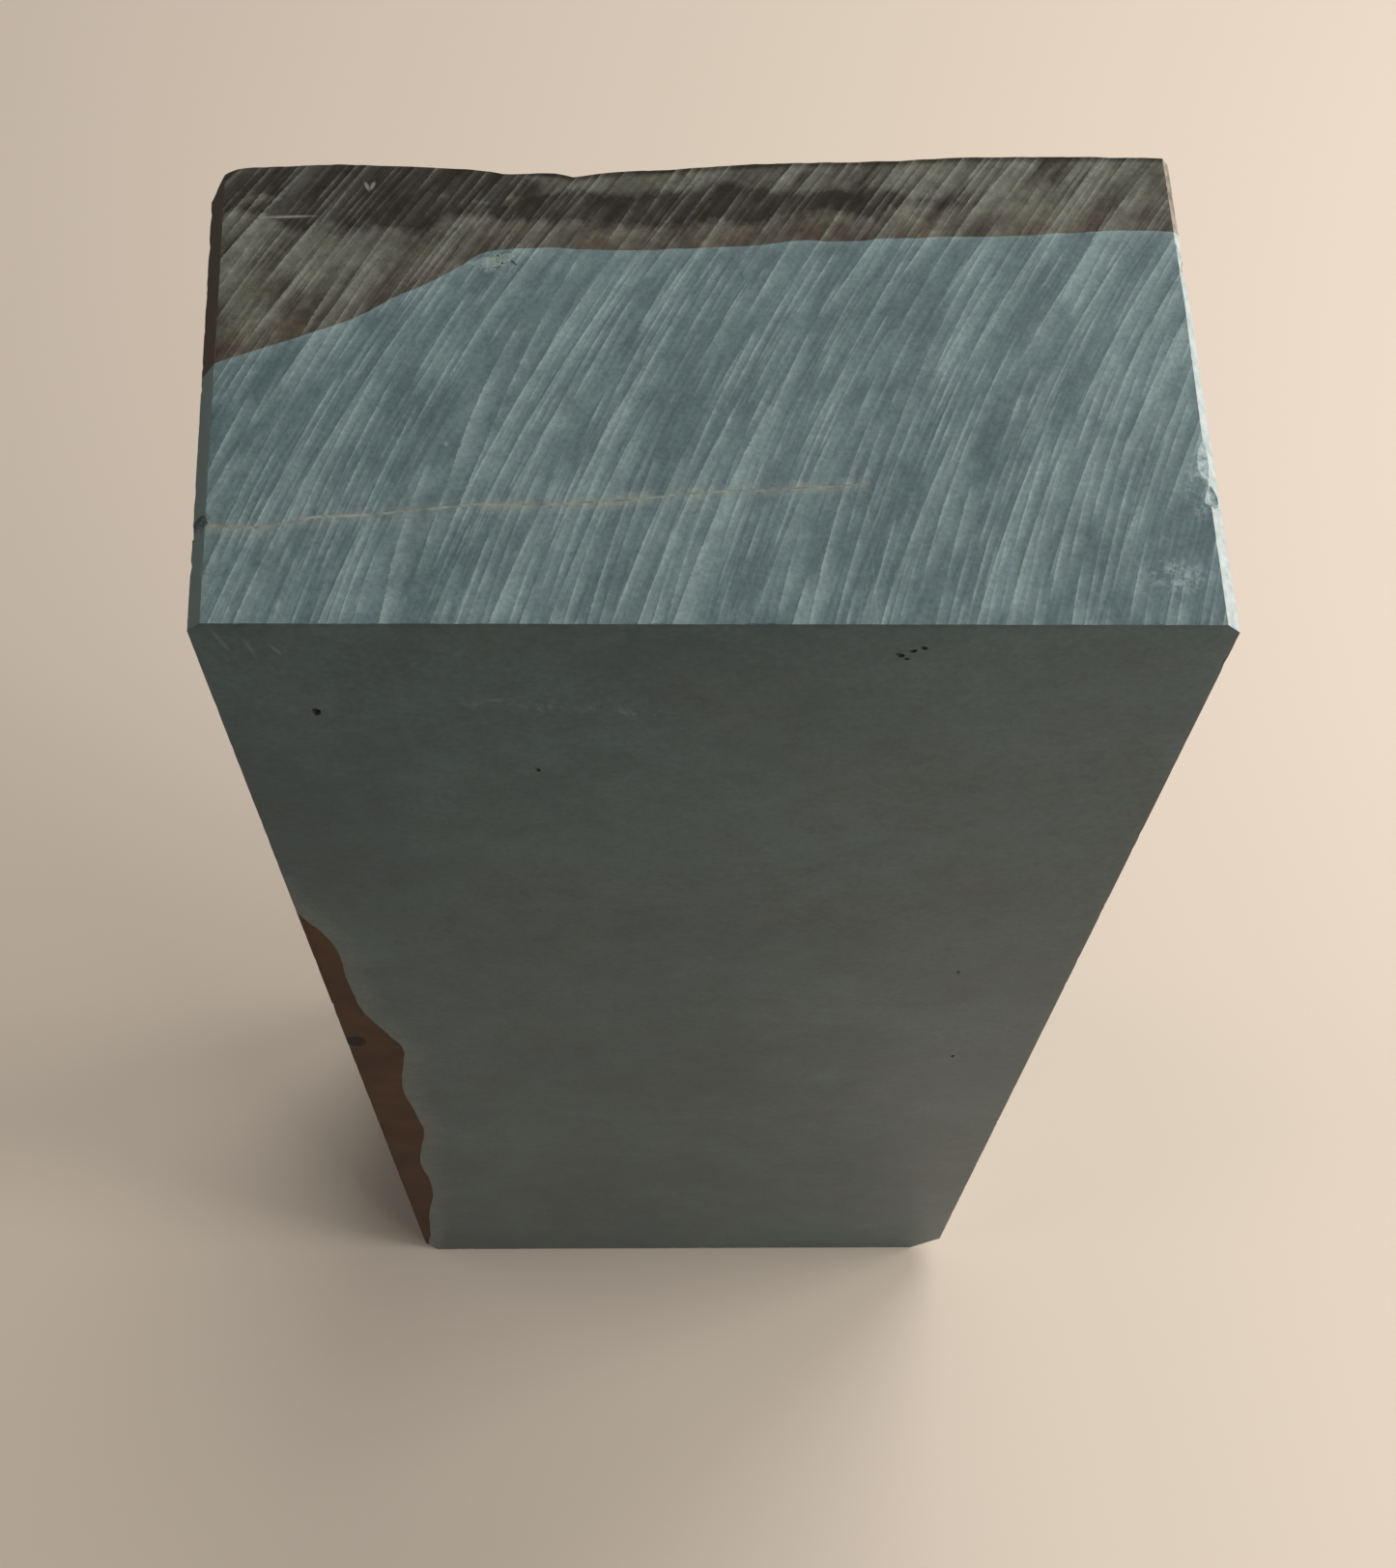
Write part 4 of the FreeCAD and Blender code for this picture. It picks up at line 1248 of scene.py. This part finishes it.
# ------------------------------------------------------------------ operators and panel
class WHETSTONE_OT_block(bpy.types.Operator):
    """Saws and chips the whole block and sets out the forms of its zones"""

    bl_idname = "whetstone.block"
    bl_label = "Block"

    def execute(self, context):
        prepare_block()
        return {"FINISHED"}


class ZoneOperator:
    """Cuts zones of the stone out of the block"""

    nodes = ()

    def execute(self, context):
        for node in self.nodes:
            make_zone(node)
        return {"FINISHED"}


class WHETSTONE_OT_blue_stone(ZoneOperator, bpy.types.Operator):
    """The blue honing slate, most of the stone"""

    bl_idname = "whetstone.blue_stone"
    bl_label = "Blue stone"
    nodes = ("blue_stone",)


class WHETSTONE_OT_brown_layers(ZoneOperator, bpy.types.Operator):
    """The rust band and the grey-brown rind behind the blue slate"""

    bl_idname = "whetstone.brown_layers"
    bl_label = "Brown layers"
    nodes = ("rust_band", "brown_rind")


class WHETSTONE_OT_dark_streak(ZoneOperator, bpy.types.Operator):
    """The dark mineral streak in the rind"""

    bl_idname = "whetstone.dark_streak"
    bl_label = "Dark streak"
    nodes = ("dark_streak",)


class WHETSTONE_OT_back_skin(ZoneOperator, bpy.types.Operator):
    """The weathered natural skin on the back"""

    bl_idname = "whetstone.back_skin"
    bl_label = "Back skin"
    nodes = ("back_skin",)


class WHETSTONE_OT_seam_fill(ZoneOperator, bpy.types.Operator):
    """The tan mineral that fills the seam"""

    bl_idname = "whetstone.seam_fill"
    bl_label = "Seam filling"
    nodes = ("seam_fill",)


class WHETSTONE_OT_inclusions(ZoneOperator, bpy.types.Operator):
    """The pale fleck on the head end and the iron knot on the left edge"""

    bl_idname = "whetstone.inclusions"
    bl_label = "Inclusions"
    nodes = ("pale_fleck", "iron_knot")


class WHETSTONE_OT_stage(bpy.types.Operator):
    """Clears the workshop and sets up the floor, the lights and the camera"""

    bl_idname = "whetstone.stage"
    bl_label = "Stage"

    def execute(self, context):
        if Workshop.shell is not None:
            clear_workshop()
        make_camera()
        make_stage()
        return {"FINISHED"}


OPERATORS = (
    WHETSTONE_OT_block,
    WHETSTONE_OT_blue_stone,
    WHETSTONE_OT_brown_layers,
    WHETSTONE_OT_dark_streak,
    WHETSTONE_OT_back_skin,
    WHETSTONE_OT_seam_fill,
    WHETSTONE_OT_inclusions,
    WHETSTONE_OT_stage,
)
GROUPS = {
    "whetstone_sizes": WHETSTONE_PG_sizes,
    "whetstone_colours": WHETSTONE_PG_colours,
    "whetstone_stage": WHETSTONE_PG_stage,
}


class WHETSTONE_PT_panel(bpy.types.Panel):
    """Builds the stone step by step"""

    bl_idname = "WHETSTONE_PT_panel"
    bl_label = "Natural whetstone"
    bl_space_type = "VIEW_3D"
    bl_region_type = "UI"
    bl_category = "Whetstone"

    def draw(self, context):
        for name, group in GROUPS.items():
            box = self.layout.box()
            box.label(text=group.__doc__)
            for key in group.__annotations__:
                box.prop(getattr(context.scene, name), key)
        for operator in OPERATORS:
            self.layout.operator(operator.bl_idname)


def register():
    for made in (*GROUPS.values(), *OPERATORS, WHETSTONE_PT_panel):
        bpy.utils.register_class(made)
    for name, group in GROUPS.items():
        setattr(bpy.types.Scene, name, bpy.props.PointerProperty(type=group))


def unregister():
    for name in GROUPS:
        delattr(bpy.types.Scene, name)
    for made in (WHETSTONE_PT_panel, *reversed(OPERATORS), *reversed(GROUPS.values())):
        bpy.utils.unregister_class(made)


def main():
    register()
    bpy.ops.whetstone.block()
    bpy.ops.whetstone.blue_stone()
    bpy.ops.whetstone.brown_layers()
    bpy.ops.whetstone.dark_streak()
    bpy.ops.whetstone.back_skin()
    bpy.ops.whetstone.seam_fill()
    bpy.ops.whetstone.inclusions()
    bpy.ops.whetstone.stage()


if __name__ == "__main__":
    main()
